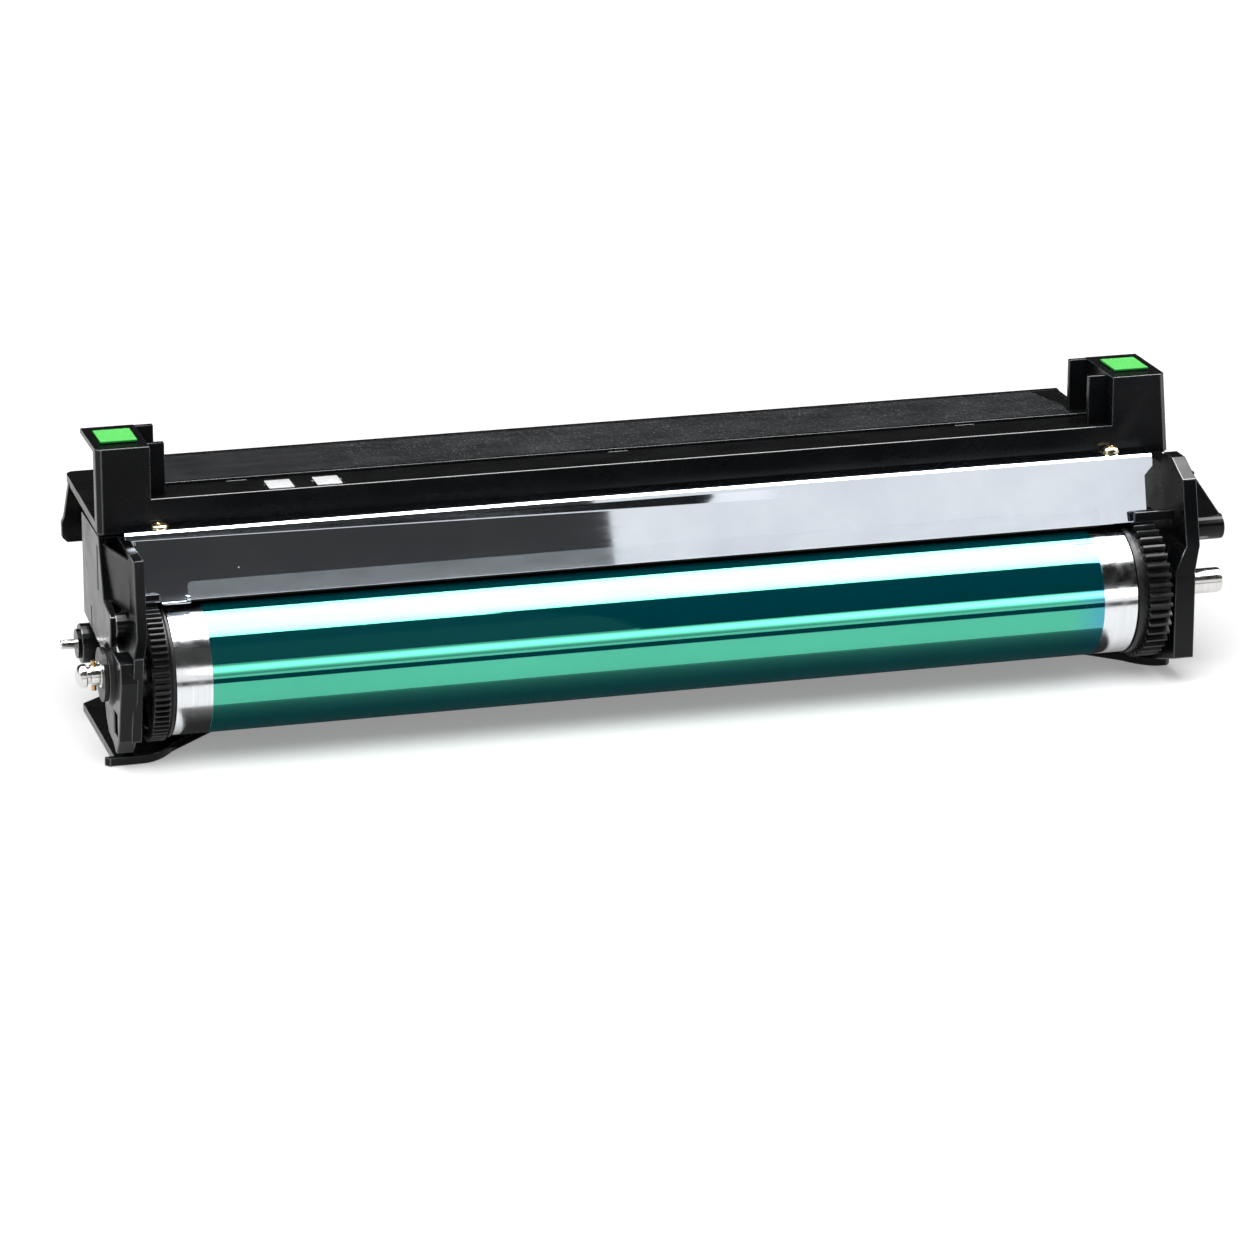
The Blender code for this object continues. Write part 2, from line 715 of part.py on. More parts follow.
def gear_flange(name, side, outline, root, collar, width):
    """A drum end flange: spigot in the tube, rim against its end, gear outboard."""
    start = DRUM_HALF - SPIGOT_LENGTH
    face = DRUM_HALF + PRESS_GAP
    rim_end = DRUM_HALF + collar / 2
    gear_start = DRUM_HALF + collar
    gear_end = gear_start + width
    spigot = DRUM_RADIUS - TUBE_WALL - PRESS_GAP
    profile = [
        (start, 0),
        (start, spigot - GAP),
        (start + GAP, spigot),
        (face, spigot),
        (face, FLANGE_RIM_RADIUS),
        (rim_end, FLANGE_RIM_RADIUS),
        (rim_end, root - GAP),
        (gear_start + OVERLAP, root - GAP),
        (gear_start + OVERLAP, 0),
    ]
    body = turned([(side * x, radius) for x, radius in profile], DRUM_SEGMENTS)
    gear = prism(outline, "X", side * gear_start, side * gear_end)
    bore_x = (side * (start - GAP), side * (gear_end + GAP))
    cuts = [bar((0, 0), AXLE_RADIUS + PRESS_GAP, bore_x)]
    pocket_turn = 2 * pi / GEAR_POCKETS
    pocket_x = (side * (gear_end - GEAR_POCKET_DEPTH), side * (gear_end + OVERLAP))
    for i in range(GEAR_POCKETS):
        first = i * pocket_turn + GEAR_SPOKE_TURN / 2
        last = (i + 1) * pocket_turn - GEAR_SPOKE_TURN / 2
        pocket = sector(GEAR_HUB_RADIUS, root - GEAR_RIM_WALL, first, last, 4)
        cuts.append(prism(pocket, "X", *pocket_x))
    piece(name, BLACK_GEAR, [gear, body], cuts, DRUM_SPINDLE)


def axle():
    head_end = AXLE_LEFT_END + AXLE_HEAD_LENGTH
    groove_end = head_end + AXLE_GROOVE_LENGTH
    profile = [
        (AXLE_LEFT_END, 0),
        (AXLE_LEFT_END, AXLE_HEAD_RADIUS - AXLE_CHAMFER),
        (AXLE_LEFT_END + AXLE_CHAMFER, AXLE_HEAD_RADIUS),
        (head_end, AXLE_HEAD_RADIUS),
        (head_end, AXLE_GROOVE_RADIUS),
        (groove_end, AXLE_GROOVE_RADIUS),
        (groove_end, AXLE_NECK_RADIUS),
        (AXLE_NECK_END, AXLE_NECK_RADIUS),
        (AXLE_NECK_END, AXLE_RADIUS),
        (AXLE_RIGHT_END - AXLE_CHAMFER, AXLE_RADIUS),
        (AXLE_RIGHT_END, AXLE_RADIUS - AXLE_CHAMFER),
        (AXLE_RIGHT_END, 0),
    ]
    key_x = groove_end + KEY_FROM_GROOVE
    hole = circle((key_x, 0), KEY_RADIUS + PRESS_GAP, 12)
    key_hole = prism(hole, "Z", -AXLE_RADIUS, AXLE_RADIUS)
    piece("drum_axle", STEEL, [turned(profile, AXLE_SEGMENTS)], [key_hole], DRUM_SPINDLE)
    reach = AXLE_NECK_RADIUS + KEY_STAND_OUT
    key = prism(circle((key_x, 0), KEY_RADIUS, 12), "Z", -reach, reach)
    piece("axle_cross_pin", BRASS, [key], parent=DRUM_SPINDLE)


def bush(name, face, thickness, side):
    """A flanged plain bush pressed into an end plate from its outer side."""
    inner_end = face - side * (thickness + GAP)
    rim = face + side * PRESS_GAP
    end = face + side * BUSH_FLANGE
    profile = [
        (inner_end, AXLE_RADIUS + RUNNING_GAP),
        (inner_end, BUSH_BARREL_RADIUS),
        (rim, BUSH_BARREL_RADIUS),
        (rim, BUSH_FLANGE_RADIUS),
        (end, BUSH_FLANGE_RADIUS),
        (end, AXLE_RADIUS + RUNNING_GAP),
    ]
    piece(name, WHITE_MOULDING, [turned(profile, BUSH_SEGMENTS)])


# Housing


def front_jaw():
    """Section of the front wall, the deck behind it and the ledge for the bracket."""
    inner = FRONT_Y + WALL
    ledge_back = MIDDLE_RIM_Y + RIM_WIDTH + LID_LEDGE
    return [
        (FRONT_Y, RIM_Z),
        (FRONT_Y + RIM_WIDTH, RIM_Z),
        (FRONT_Y + RIM_WIDTH, DECK_Z),
        (MIDDLE_RIM_Y, DECK_Z),
        (MIDDLE_RIM_Y, RIM_Z),
        (MIDDLE_RIM_Y + RIM_WIDTH, RIM_Z),
        (MIDDLE_RIM_Y + RIM_WIDTH, LID_SEAT_Z),
        (ledge_back, LID_SEAT_Z),
        (ledge_back, LID_SEAT_Z - WALL),
        (MIDDLE_RIM_Y - WALL, LID_SEAT_Z - WALL),
        (MIDDLE_RIM_Y - WALL, DECK_Z - WALL),
        (inner, DECK_Z - WALL),
        (inner, LEDGE_Z - LEDGE_THICKNESS),
        (LEDGE_FRONT_Y, LEDGE_Z - LEDGE_THICKNESS),
        (LEDGE_FRONT_Y, LEDGE_Z),
        (FRONT_Y, LEDGE_Z),
    ]


def trough_arc(radius, start, end):
    return arc((AUGER_Y, AUGER_Z), radius, radians(start), radians(end), 12)


def back_shell():
    """Section of the back wall, the base and the partition round the auger's trough."""
    inner = BACK_Y - WALL
    ledge_front = BACK_RIM_Y - LID_LEDGE
    rim_back = BACK_RIM_Y + BACK_RIM_WIDTH
    shelf_y = LIP_Y + LIP_RUN
    shelf_z = LIP_Z - LIP_FALL
    back_high = AUGER_Z + TROUGH_RADIUS + WALL / 2
    return [
        (ledge_front, LID_SEAT_Z),
        (BACK_RIM_Y, LID_SEAT_Z),
        (BACK_RIM_Y, BACK_RIM_Z),
        (rim_back, BACK_RIM_Z),
        (rim_back, BACK_SHOULDER_Z),
        (BACK_Y, BACK_SHOULDER_Z),
        (BACK_Y, FLOOR_Z),
        (BASE_FLAT_Y, FLOOR_Z),
        (BASE_EDGE_Y, FLOOR_Z + BASE_LEAD / 2),
        (BASE_EDGE_Y, BASE_TOP_Z),
        (inner, BASE_TOP_Z),
        (inner, back_high - WALL),
        *trough_arc(TROUGH_RADIUS + WALL, -15, -195),
        (shelf_y - WALL, shelf_z - WALL * 0.7),
        (LIP_Y + WALL * 0.3, LIP_Z - WALL * 0.9),
        (LIP_Y, LIP_Z),
        (shelf_y, shelf_z),
        *trough_arc(TROUGH_RADIUS, -195, -10),
        (inner, back_high),
        (inner, BACK_SHOULDER_Z - WALL),
        (rim_back - WALL, BACK_SHOULDER_Z - WALL),
        (rim_back - WALL, LID_SEAT_Z - WALL),
        (ledge_front, LID_SEAT_Z - WALL),
    ]


def end_wall_outline():
    """The whole section of the housing, hollowed round the drum and cut back clear of
    the blade bracket."""
    sheet_back = SHEET / cos(BRACKET_LEAN) + GAP + PRESS_GAP
    wall_top = DECK_Z - PRESS_GAP
    wall_back = BACK_RIM_Y + BACK_RIM_WIDTH / 2
    ledge_middle = LEDGE_Z - LEDGE_THICKNESS / 2
    return [
        (FRONT_Y + RIM_WIDTH / 2, wall_top),
        (wall_back, wall_top),
        (wall_back, BACK_SHOULDER_Z - WALL / 2),
        (BACK_Y - WALL / 2, BACK_SHOULDER_Z - WALL / 2),
        (BACK_Y - WALL / 2, FLOOR_Z + WALL / 2),
        (BASE_EDGE_Y + WALL / 2, FLOOR_Z + WALL / 2),
        *arc((0, 0), DRUM_HOLLOW, radians(-52), radians(92), 18),
        (BRACKET_LOW_Y + sheet_back, BRACKET_LOW_Z + GAP),
        (LEDGE_FRONT_Y + PRESS_GAP, ledge_middle),
        (FRONT_Y + RIM_WIDTH / 2, ledge_middle),
    ]


def stiffening_rib():
    corner = BACK_Y - WALL / 2
    top = AUGER_Z + TROUGH_RADIUS - WALL / 2
    low = BASE_TOP_Z - WALL / 2
    trough = trough_arc(TROUGH_RADIUS + WALL / 2, -15, -118)
    return [(RIB_FRONT_Y, low), (corner, low), (corner, top), *trough]


def foot_curve(side, outer, front, flat):
    """The base's front corner: flat under the end plate, then a curve and a slant back
    to the base's own front edge."""
    start = outer - flat
    slant_x = start - FOOT_CURVE
    slant_y = front + FOOT_CURVE * 0.78
    middle = (side * (start - FOOT_CURVE / 2), front)
    curve = sweep((side * start, front), middle, (side * slant_x, slant_y), FOOT_STEPS)
    return [*curve, (side * (slant_x - (BASE_FLAT_Y - slant_y)), BASE_FLAT_Y)]


def base_outline():
    left = foot_curve(-1, LEFT_FOOT_OUTER, LEFT_FOOT_FRONT_Y, LEFT_FOOT_FLAT)
    right = foot_curve(1, RIGHT_FOOT_OUTER, RIGHT_FOOT_FRONT_Y, RIGHT_FOOT_FLAT)
    corner = WALL / 2
    back = FOOT_BACK_Y + TOWER_RETURN_Y
    return [
        (LEFT_TAIL_FACE, FOOT_BACK_Y),
        (LEFT_TAIL_FACE, LEFT_FOOT_FRONT_Y + LEFT_FOOT_TOE),
        (-LEFT_FOOT_OUTER, LEFT_FOOT_FRONT_Y + LEFT_FOOT_TOE),
        (-LEFT_FOOT_OUTER, LEFT_FOOT_FRONT_Y + corner),
        (-LEFT_FOOT_OUTER + corner, LEFT_FOOT_FRONT_Y),
        *left,
        *reversed(right),
        (RIGHT_FOOT_OUTER - corner, RIGHT_FOOT_FRONT_Y),
        (RIGHT_FOOT_OUTER, RIGHT_FOOT_FRONT_Y + corner),
        (RIGHT_FOOT_OUTER, FOOT_BACK_Y),
        (TOWER_INNER, back),
        (-TOWER_INNER, back),
    ]


def tower(side):
    """A tower: front wall with a short outer return, a deep inner wall, a cap, and two
    fins that stand inboard on the deck."""
    right = side > 0
    outer = TOWER_OUTER + RIGHT_TOWER_MORE * right
    top = TOWER_TOP_Z - RIGHT_TOWER_DROP * right
    inner_side = TOWER_INNER + TOWER_SIDE_WALL
    outer_side = outer - TOWER_SIDE_WALL
    front_inside = FRONT_Y + TOWER_FRONT_WALL
    walls = [
        (side * (outer - TOWER_CHAMFER), FRONT_Y),
        (side * TOWER_INNER, FRONT_Y),
        (side * TOWER_INNER, TOWER_BACK_Y),
        (side * inner_side, TOWER_BACK_Y),
        (side * inner_side, front_inside),
        (side * outer_side, front_inside),
        (side * outer_side, TOWER_RETURN_Y),
        (side * outer, TOWER_RETURN_Y),
        (side * outer, FRONT_Y + TOWER_CHAMFER),
    ]
    cap = [*walls[:3], (side * outer, TOWER_BACK_Y), walls[-1]]
    box = prism(walls, "Z", TOWER_FOOT_Z, top - TOWER_CAP / 2)
    for corner in box.verts:
        if corner.co.z < DECK_Z and abs(corner.co.x) > inner_side + TOWER_CHAMFER:
            corner.co.x += RIGHT_TOWER_SPREAD * right
    solids = [box, prism(cap, "Z", top - TOWER_CAP, top)]
    fin_x = (side * (TOWER_INNER - FIN_WIDTH), side * (TOWER_INNER + OVERLAP))
    for front, drop in ((FIN_FRONT_Y, FIN_DROP), (FIN_BACK_Y, PRESS_GAP)):
        fin_z = (DECK_Z - OVERLAP, top - drop)
        solids.append(block(fin_x, (front, front + FIN_THICKNESS), fin_z))
    return solids


def wing(side):
    """The shelf outboard of the housing, which rises slightly to the back."""
    top = BACK_SHOULDER_Z
    outline = [
        (WING_FRONT_Y, top - WING_RISE),
        (BACK_Y, top),
        (BACK_Y, top - WING_THICKNESS),
        (WING_FRONT_Y, top - WING_RISE - WING_THICKNESS),
    ]
    outer = WING_OUTER + (RIGHT_TOWER_MORE + RIGHT_TOWER_SPREAD) * (side > 0)
    return prism(outline, "X", side * (TOWER_INNER - OVERLAP), side * outer)


def wing_corner(side):
    """Cuts the wing's back corner round."""
    outer = WING_OUTER + (RIGHT_TOWER_MORE + RIGHT_TOWER_SPREAD) * (side > 0)
    start = outer - WING_CORNER
    back = BACK_Y - WING_CORNER
    outline = [
        *arc((start, back), WING_CORNER, 0, pi / 2, 4),
        (start, BACK_Y + WALL),
        (outer + WALL, BACK_Y + WALL),
        (outer + WALL, back),
    ]
    outline = [(side * x, y) for x, y in outline]
    return prism(outline, "Z", BACK_SHOULDER_Z - WALL * 2, BACK_SHOULDER_Z + WALL)


def ear():
    """The hook that hangs from the left wing at the back."""
    top = BACK_SHOULDER_Z - WING_THICKNESS / 2
    chamfer = (EAR_OUTER - EAR_INNER) / 6
    outline = [
        (-EAR_INNER, top),
        (-WING_OUTER, top),
        (-EAR_OUTER + chamfer / 2, EAR_LUG_Z + chamfer),
        (-EAR_OUTER, EAR_LUG_Z),
        (-EAR_OUTER, EAR_LOW_Z + chamfer),
        (-EAR_OUTER + chamfer, EAR_LOW_Z),
        (-EAR_INNER, EAR_LOW_Z),
    ]
    return prism(outline, "Y", EAR_Y, EAR_Y + EAR_THICKNESS)


def shroud(side, gear_tip, end):
    inner = gear_tip + SHROUD_GAP
    outline = sector(inner, inner + SHROUD_WALL, SHROUD_START, SHROUD_END, SHROUD_STEPS)
    return prism(outline, "X", side * (TOWER_INNER - OVERLAP), side * end)


def posts():
    """Bosses on the end walls that the end plates are screwed to: name, centre, side,
    end of the boss and thickness of the web there."""
    left_end = -LEFT_WEB_FACE - GAP
    right_end = RIGHT_WEB_FACE - GAP
    right_low_end = RIGHT_LOW_FACE - GAP
    return (
        ("left_upper", (POST_Y, POST_HIGH_Z), -1, left_end, LEFT_WEB),
        ("left_lower", (POST_Y, LEFT_POST_LOW_Z), -1, left_end, LEFT_WEB),
        ("right_upper", (POST_Y, POST_HIGH_Z), 1, right_end, RIGHT_WEB),
        ("right_lower", (POST_Y, RIGHT_POST_LOW_Z), 1, right_low_end, RIGHT_LOW_WEB),
    )


def lid_end(offset=0.0):
    """The lid's right end: straight at the front, then curved inboard to the back."""
    x = LID_RIGHT + offset
    turn = (x, LID_BACK_Y - LID_CORNER_Y)
    middle = (x, LID_BACK_Y - LID_CORNER_Y / 2)
    return [(x, LID_FRONT_Y), *sweep(turn, middle, (x - LID_CORNER_X, LID_BACK_Y), LID_STEPS)]


def lid_surround():
    """The parts of the housing's top beyond the lid's straight and curved ends."""
    back = BACK_RIM_Y + BACK_RIM_WIDTH / 2
    outer = TOWER_INNER - END_WALL / 2
    edge = lid_end(GAP)
    front = LID_FRONT_Y - GAP - RIM_WIDTH / 2
    z = (LID_SEAT_Z - WALL / 2, BACK_RIM_Z - PRESS_GAP)
    outline = [(edge[0][0], front), *edge, (edge[-1][0], back), (outer, back), (outer, front)]
    return [prism(outline, "Z", *z), block((-outer, LID_LEFT - GAP), (front, back), z)]


def charge_guides(side):
    """Ribs before and behind the sliding bearing of the charge roller."""
    half = CHARGE_BEARING_HALF + GAP
    width = CHARGE_BEARING_WIDTH / 2
    x = (side * (CHARGE_BEARING_X - width), side * (CHARGE_BEARING_X + width))
    z = (BASE_TOP_Z - WALL / 2, GUIDE_TOP_Z)
    starts = (CHARGE_Y - half - GUIDE_RIB, CHARGE_Y + half)
    return [block(x, (start, start + GUIDE_RIB), z) for start in starts]


def deck_cuts():
    """Pockets for the two sensor pads and the pairs of slots beside the rims."""
    cuts = []
    z = (DECK_Z - PAD_POCKET, RIM_Z + OVERLAP)
    half_x = PAD_LENGTH / 2 + PAD_MARGIN
    half_y = PAD_DEPTH / 2 + PAD_MARGIN
    pocket_y = (PAD_CENTRE_Y - half_y, PAD_CENTRE_Y + half_y)
    for x in PAD_CENTRES_X:
        cuts.append(block((x - half_x, x + half_x), pocket_y, z))
    z = (DECK_Z - SLOT_CUT, RIM_Z + OVERLAP)
    for x in SLOT_CENTRES_X:
        slot_x = (x - SLOT_LENGTH / 2, x + SLOT_LENGTH / 2)
        for y in (FRONT_Y + RIM_WIDTH + GAP, MIDDLE_RIM_Y - SLOT_WIDTH - GAP):
            cuts.append(block(slot_x, (y, y + SLOT_WIDTH), z))
    return cuts


def main_frame():
    half = TOWER_INNER
    right_tip = (RIGHT_GEAR_TEETH / 2 + 1) * RIGHT_GEAR_MODULE
    peg_x = (-INNER_HALF - OVERLAP, LEFT_GEAR_BACK - GAP)
    boss_x = (-INNER_HALF - OVERLAP, LEFT_GEAR_FACE + GAP)
    solids = [
        prism(front_jaw(), "X", -half, half),
        prism(back_shell(), "X", -half, half),
        prism(base_outline(), "Z", FLOOR_Z, BASE_TOP_Z),
        *lid_surround(),
        ear(),
        shroud(-1, LEFT_GEAR_RADIUS + GEAR_MODULE, LEFT_SHROUD_END),
        shroud(1, right_tip, RIGHT_SHROUD_END),
        bar(IDLER_CENTRE, IDLER_PEG_RADIUS, peg_x, 20),
        bar(IDLER_CENTRE, IDLER_BOSS_RADIUS, boss_x, 20),
    ]
    cuts = [wing_corner(-1), wing_corner(1), *deck_cuts()]
    saddle = sector(DRUM_HOLLOW, DRUM_HOLLOW + SADDLE_WALL, radians(26), radians(88), 12)
    boss_y = (LEDGE_FRONT_Y, FRONT_Y + WALL)
    boss_z = (LEDGE_Z - SCREW_BOSS_HEIGHT, LEDGE_Z)
    for side in (-1, 1):
        solids += tower(side)
        solids += charge_guides(side)
        solids.append(wing(side))
        solids.append(prism(end_wall_outline(), "X", side * INNER_HALF, side * half))
        saddle_x = (side * (BLADE_HALF + GAP), side * (INNER_HALF + OVERLAP))
        solids.append(prism(saddle, "X", *saddle_x))
        screw_x = side * BLADE_SCREW_X
        boss_x = (screw_x - SCREW_BOSS_HALF, screw_x + SCREW_BOSS_HALF)
        solids.append(block(boss_x, boss_y, boss_z))
        pilot = circle((screw_x, BLADE_SCREW_Y), SCREW_SHANK_RADIUS + PRESS_GAP, 12)
        cuts.append(prism(pilot, "Z", LEDGE_Z - SCREW_PILOT_DEPTH, LEDGE_Z + OVERLAP))
    for i in range(RIB_COUNT):
        x = (i - (RIB_COUNT - 1) / 2) * 2 * half / (RIB_COUNT + 1)
        solids.append(
            prism(stiffening_rib(), "X", x - RIB_THICKNESS / 2, x + RIB_THICKNESS / 2)
        )
    for name, centre, side, end, web in posts():
        solids.append(bar(centre, POST_RADIUS, (side * INNER_HALF, side * end), POST_SEGMENTS))
        pilot_x = (side * (end - SCREW_PILOT_DEPTH), side * (end + OVERLAP))
        cuts.append(bar(centre, SCREW_SHANK_RADIUS + PRESS_GAP, pilot_x, 12))
    centre = (AUGER_Y, AUGER_Z)
    left_x = (-half - OVERLAP, -INNER_HALF + OVERLAP)
    right_x = (INNER_HALF - OVERLAP, half + OVERLAP)
    cuts.append(bar(centre, AUGER_SHAFT_RADIUS + RUNNING_GAP, left_x, 20))
    cuts.append(bar(centre, AUGER_JOURNAL_RADIUS + RUNNING_GAP, right_x, 20))
    piece("main_frame", BLACK_MOULDING, solids, cuts, smooth=30)


def top_lid():
    top = BACK_RIM_Z
    outline = [*lid_end(), (LID_LEFT, LID_BACK_Y), (LID_LEFT, LID_FRONT_Y)]
    solids = [prism(outline, "Z", top - LID_THICKNESS, top)]
    rib_x = (LID_LEFT + WALL, LID_RIGHT - LID_CORNER_X - WALL)
    rib_z = (top - LID_THICKNESS - LID_RIB_DEPTH, top - LID_THICKNESS + OVERLAP)
    front = LID_FRONT_Y + LID_LEDGE + GAP
    back = LID_BACK_Y - LID_LEDGE - GAP
    for start in (front, back - LID_RIB_WALL):
        solids.append(block(rib_x, (start, start + LID_RIB_WALL), rib_z))
    piece("top_lid", BLACK_MOULDING, solids)


# End plates


def left_end_plate():
    skin_x = (LEFT_SKIN_FACE, LEFT_SKIN_FACE - LEFT_SKIN)
    tie_x = (LEFT_WEB_FACE - LEFT_WEB / 2, LEFT_SKIN_FACE - LEFT_SKIN / 2)
    skin_front = LEFT_SKIN_OUTLINE[0][0]
    skin_back = LEFT_SKIN_OUTLINE[-1][0]
    web_front = LEFT_WEB_OUTLINE[0][0] + LEFT_FLANGE
    top_z = (LEFT_TOP_Z - LEFT_FLANGE, LEFT_TOP_Z - PRESS_GAP)
    far = LEFT_HUB_END - WALL
    auger = (AUGER_Y, AUGER_Z)
    hub = [
        (LEFT_LOW_FACE - OVERLAP, 0),
        (LEFT_LOW_FACE - OVERLAP, LEFT_HUB_RADIUS),
        (LEFT_SKIN_FACE - GAP, LEFT_HUB_RADIUS),
        (LEFT_HUB_END, BUSH_FLANGE_RADIUS + GAP),
        (LEFT_HUB_END, 0),
    ]
    gusset = [
        (tie_x[0], web_front),
        (tie_x[0], web_front + LEFT_GUSSET * 2),
        (tie_x[1], skin_front + LEFT_GUSSET),
        (tie_x[1], skin_front - LEFT_GUSSET),
    ]
    web = jogged(
        LEFT_WEB_OUTLINE,
        LEFT_WEB_FACE,
        -LEFT_WEB,
        -LEFT_WEB,
        -LEFT_JOG,
        LEFT_JOG_TOP_Z,
        LEFT_JOG_LOW_Z,
    )
    solids = [
        web,
        prism(LEFT_TAIL_OUTLINE, "X", LEFT_LOW_FACE - LEFT_WEB / 2, LEFT_TAIL_FACE),
        prism(LEFT_SKIN_OUTLINE, "X", *skin_x),
        block(tie_x, (skin_front + PRESS_GAP, skin_back - PRESS_GAP), top_z),
        block(
            tie_x,
            (skin_back - LEFT_FLANGE - GAP, skin_back - GAP),
            (LEFT_SKIN_LOW_Z + GAP, LEFT_TOP_Z - GAP),
        ),
        prism(gusset, "Z", LEFT_GUSSET_LOW_Z, LEFT_TOP_Z - LEFT_FLANGE + PRESS_GAP),
        turned(hub, BUSH_SEGMENTS),
        bar(auger, AUGER_BOSS_RADIUS, (LEFT_LOW_FACE - OVERLAP, AUGER_BOSS_END)),
        bar((LEFT_PEG_Y, LEFT_PEG_Z), LEFT_PEG_RADIUS, (LEFT_WEB_FACE - OVERLAP, LEFT_PEG_END), 20),
    ]
    through = (LEFT_WEB_FACE + WALL, far)
    skin_through = (LEFT_SKIN_FACE + GAP, far)
    slit_top = LEFT_SKIN_LOW_Z + LEFT_SLIT_LENGTH
    cuts = [
        bar((0, 0), BUSH_BARREL_RADIUS + PRESS_GAP, through, BUSH_SEGMENTS),
        bar(auger, AUGER_BUSH_RADIUS + PRESS_GAP, through, 20),
        block(
            skin_through,
            (LEFT_SLOT_Y, LEFT_SLOT_Y + LEFT_SLOT_WIDTH),
            (LEFT_SLOT_LOW_Z, LEFT_SLOT_TOP_Z),
        ),
        block(skin_through, (LEFT_SLIT_Y, LEFT_SLIT_Y + LEFT_SLOT_WIDTH), (0, slit_top)),
        block(
            through,
            (TAIL_SLOT_Y - TAIL_SLOT_HALF, TAIL_SLOT_Y + TAIL_SLOT_HALF),
            (TAIL_SLOT_LOW_Z, TAIL_SLOT_TOP_Z),
        ),
    ]
    for name, centre, side, end, thickness in posts():
        if side < 0:
            hole_x = (LEFT_WEB_FACE + WALL, LEFT_WEB_FACE - LEFT_WEB - WALL)
            cuts.append(bar(centre, SCREW_SHANK_RADIUS + GAP, hole_x, 16))
    piece("left_end_plate", BLACK_MOULDING, solids, cuts)


def right_end_plate():
    web_outer = RIGHT_WEB_FACE + RIGHT_WEB
    low_outer = RIGHT_LOW_FACE + RIGHT_LOW_WEB
    stub = (STUB_Y, STUB_Z)
    web = jogged(
        RIGHT_WEB_OUTLINE,
        RIGHT_WEB_FACE,
        RIGHT_WEB,
        RIGHT_LOW_WEB,
        -RIGHT_JOG,
        RIGHT_JOG_TOP_Z,
        RIGHT_JOG_LOW_Z,
    )
    gusset = [
        (web_outer - OVERLAP, RIGHT_SKIRT_Z + RIGHT_SKIRT / 2),
        (RIGHT_SKIRT_END - RIGHT_SKIRT, RIGHT_SKIRT_Z + RIGHT_SKIRT / 2),
        (RIGHT_SKIRT_END, RIGHT_SKIRT_Z),
        (GUSSET_OUT, STUB_Z + STUB_RADIUS),
        (GUSSET_OUT, STUB_Z),
        (web_outer - OVERLAP, STUB_Z),
    ]
    skirt = [
        (web_outer - OVERLAP, RIGHT_SKIRT_Z + RIGHT_SKIRT),
        (RIGHT_SKIRT_END - RIGHT_SKIRT, RIGHT_SKIRT_Z + RIGHT_SKIRT),
        (RIGHT_SKIRT_END, RIGHT_SKIRT_Z + RIGHT_SKIRT / 2),
        (RIGHT_SKIRT_END, RIGHT_SKIRT_Z),
        (web_outer - OVERLAP, RIGHT_SKIRT_Z),
    ]
    hub = [
        (low_outer - OVERLAP, 0),
        (low_outer - OVERLAP, RIGHT_HUB_RADIUS + GAP),
        (RIGHT_HUB_END, RIGHT_HUB_RADIUS),
        (RIGHT_HUB_END, 0),
    ]
    solids = [
        web,
        prism(gusset, "Y", STUB_Y - RIGHT_SKIRT / 2, STUB_Y + RIGHT_SKIRT / 2),
        prism(skirt, "Y", STUB_Y - RIGHT_SKIRT, STUB_Y - RIGHT_SKIRT + RIGHT_SKIRT_DEPTH),
        bar(stub, STUB_RADIUS, (web_outer - OVERLAP, STUB_END), STUB_SEGMENTS),
        turned(hub, BUSH_SEGMENTS),
    ]
    through = (RIGHT_LOW_FACE - WALL, RIGHT_HUB_END + WALL)
    cuts = [
        bar(stub, STUB_BORE, (STUB_END - STUB_BORE_DEPTH, STUB_END + WALL), 20),
        bar((0, 0), BUSH_BARREL_RADIUS + PRESS_GAP, through, BUSH_SEGMENTS),
    ]
    for name, centre, side, end, thickness in posts():
        if side > 0:
            hole_x = (RIGHT_LOW_FACE - WALL, web_outer + WALL)
            cuts.append(bar(centre, SCREW_SHANK_RADIUS + GAP, hole_x, 16))
    piece("right_end_plate", BLACK_MOULDING, solids, cuts)


def screw(name, place, direction):
    """A pan-head screw whose head's underside is at the place given."""
    head = SCREW_HEAD_HEIGHT
    profile = [
        (-head, 0),
        (-head, SCREW_HEAD_RADIUS * 0.55),
        (-head * 0.65, SCREW_HEAD_RADIUS * 0.88),
        (-head * 0.2, SCREW_HEAD_RADIUS),
        (0, SCREW_HEAD_RADIUS),
        (0, SCREW_SHANK_RADIUS),
        (SCREW_LENGTH - SCREW_SHANK_RADIUS, SCREW_SHANK_RADIUS),
        (SCREW_LENGTH, SCREW_SHANK_RADIUS / 3),
        (SCREW_LENGTH, 0),
    ]
    made = piece(name, STEEL, [turned(profile, SCREW_SEGMENTS)])
    made.location = place
    turn = Vector((1, 0, 0)).rotation_difference(Vector(direction))
    made.rotation_euler = turn.to_euler()


# Blade, films, seals and pads


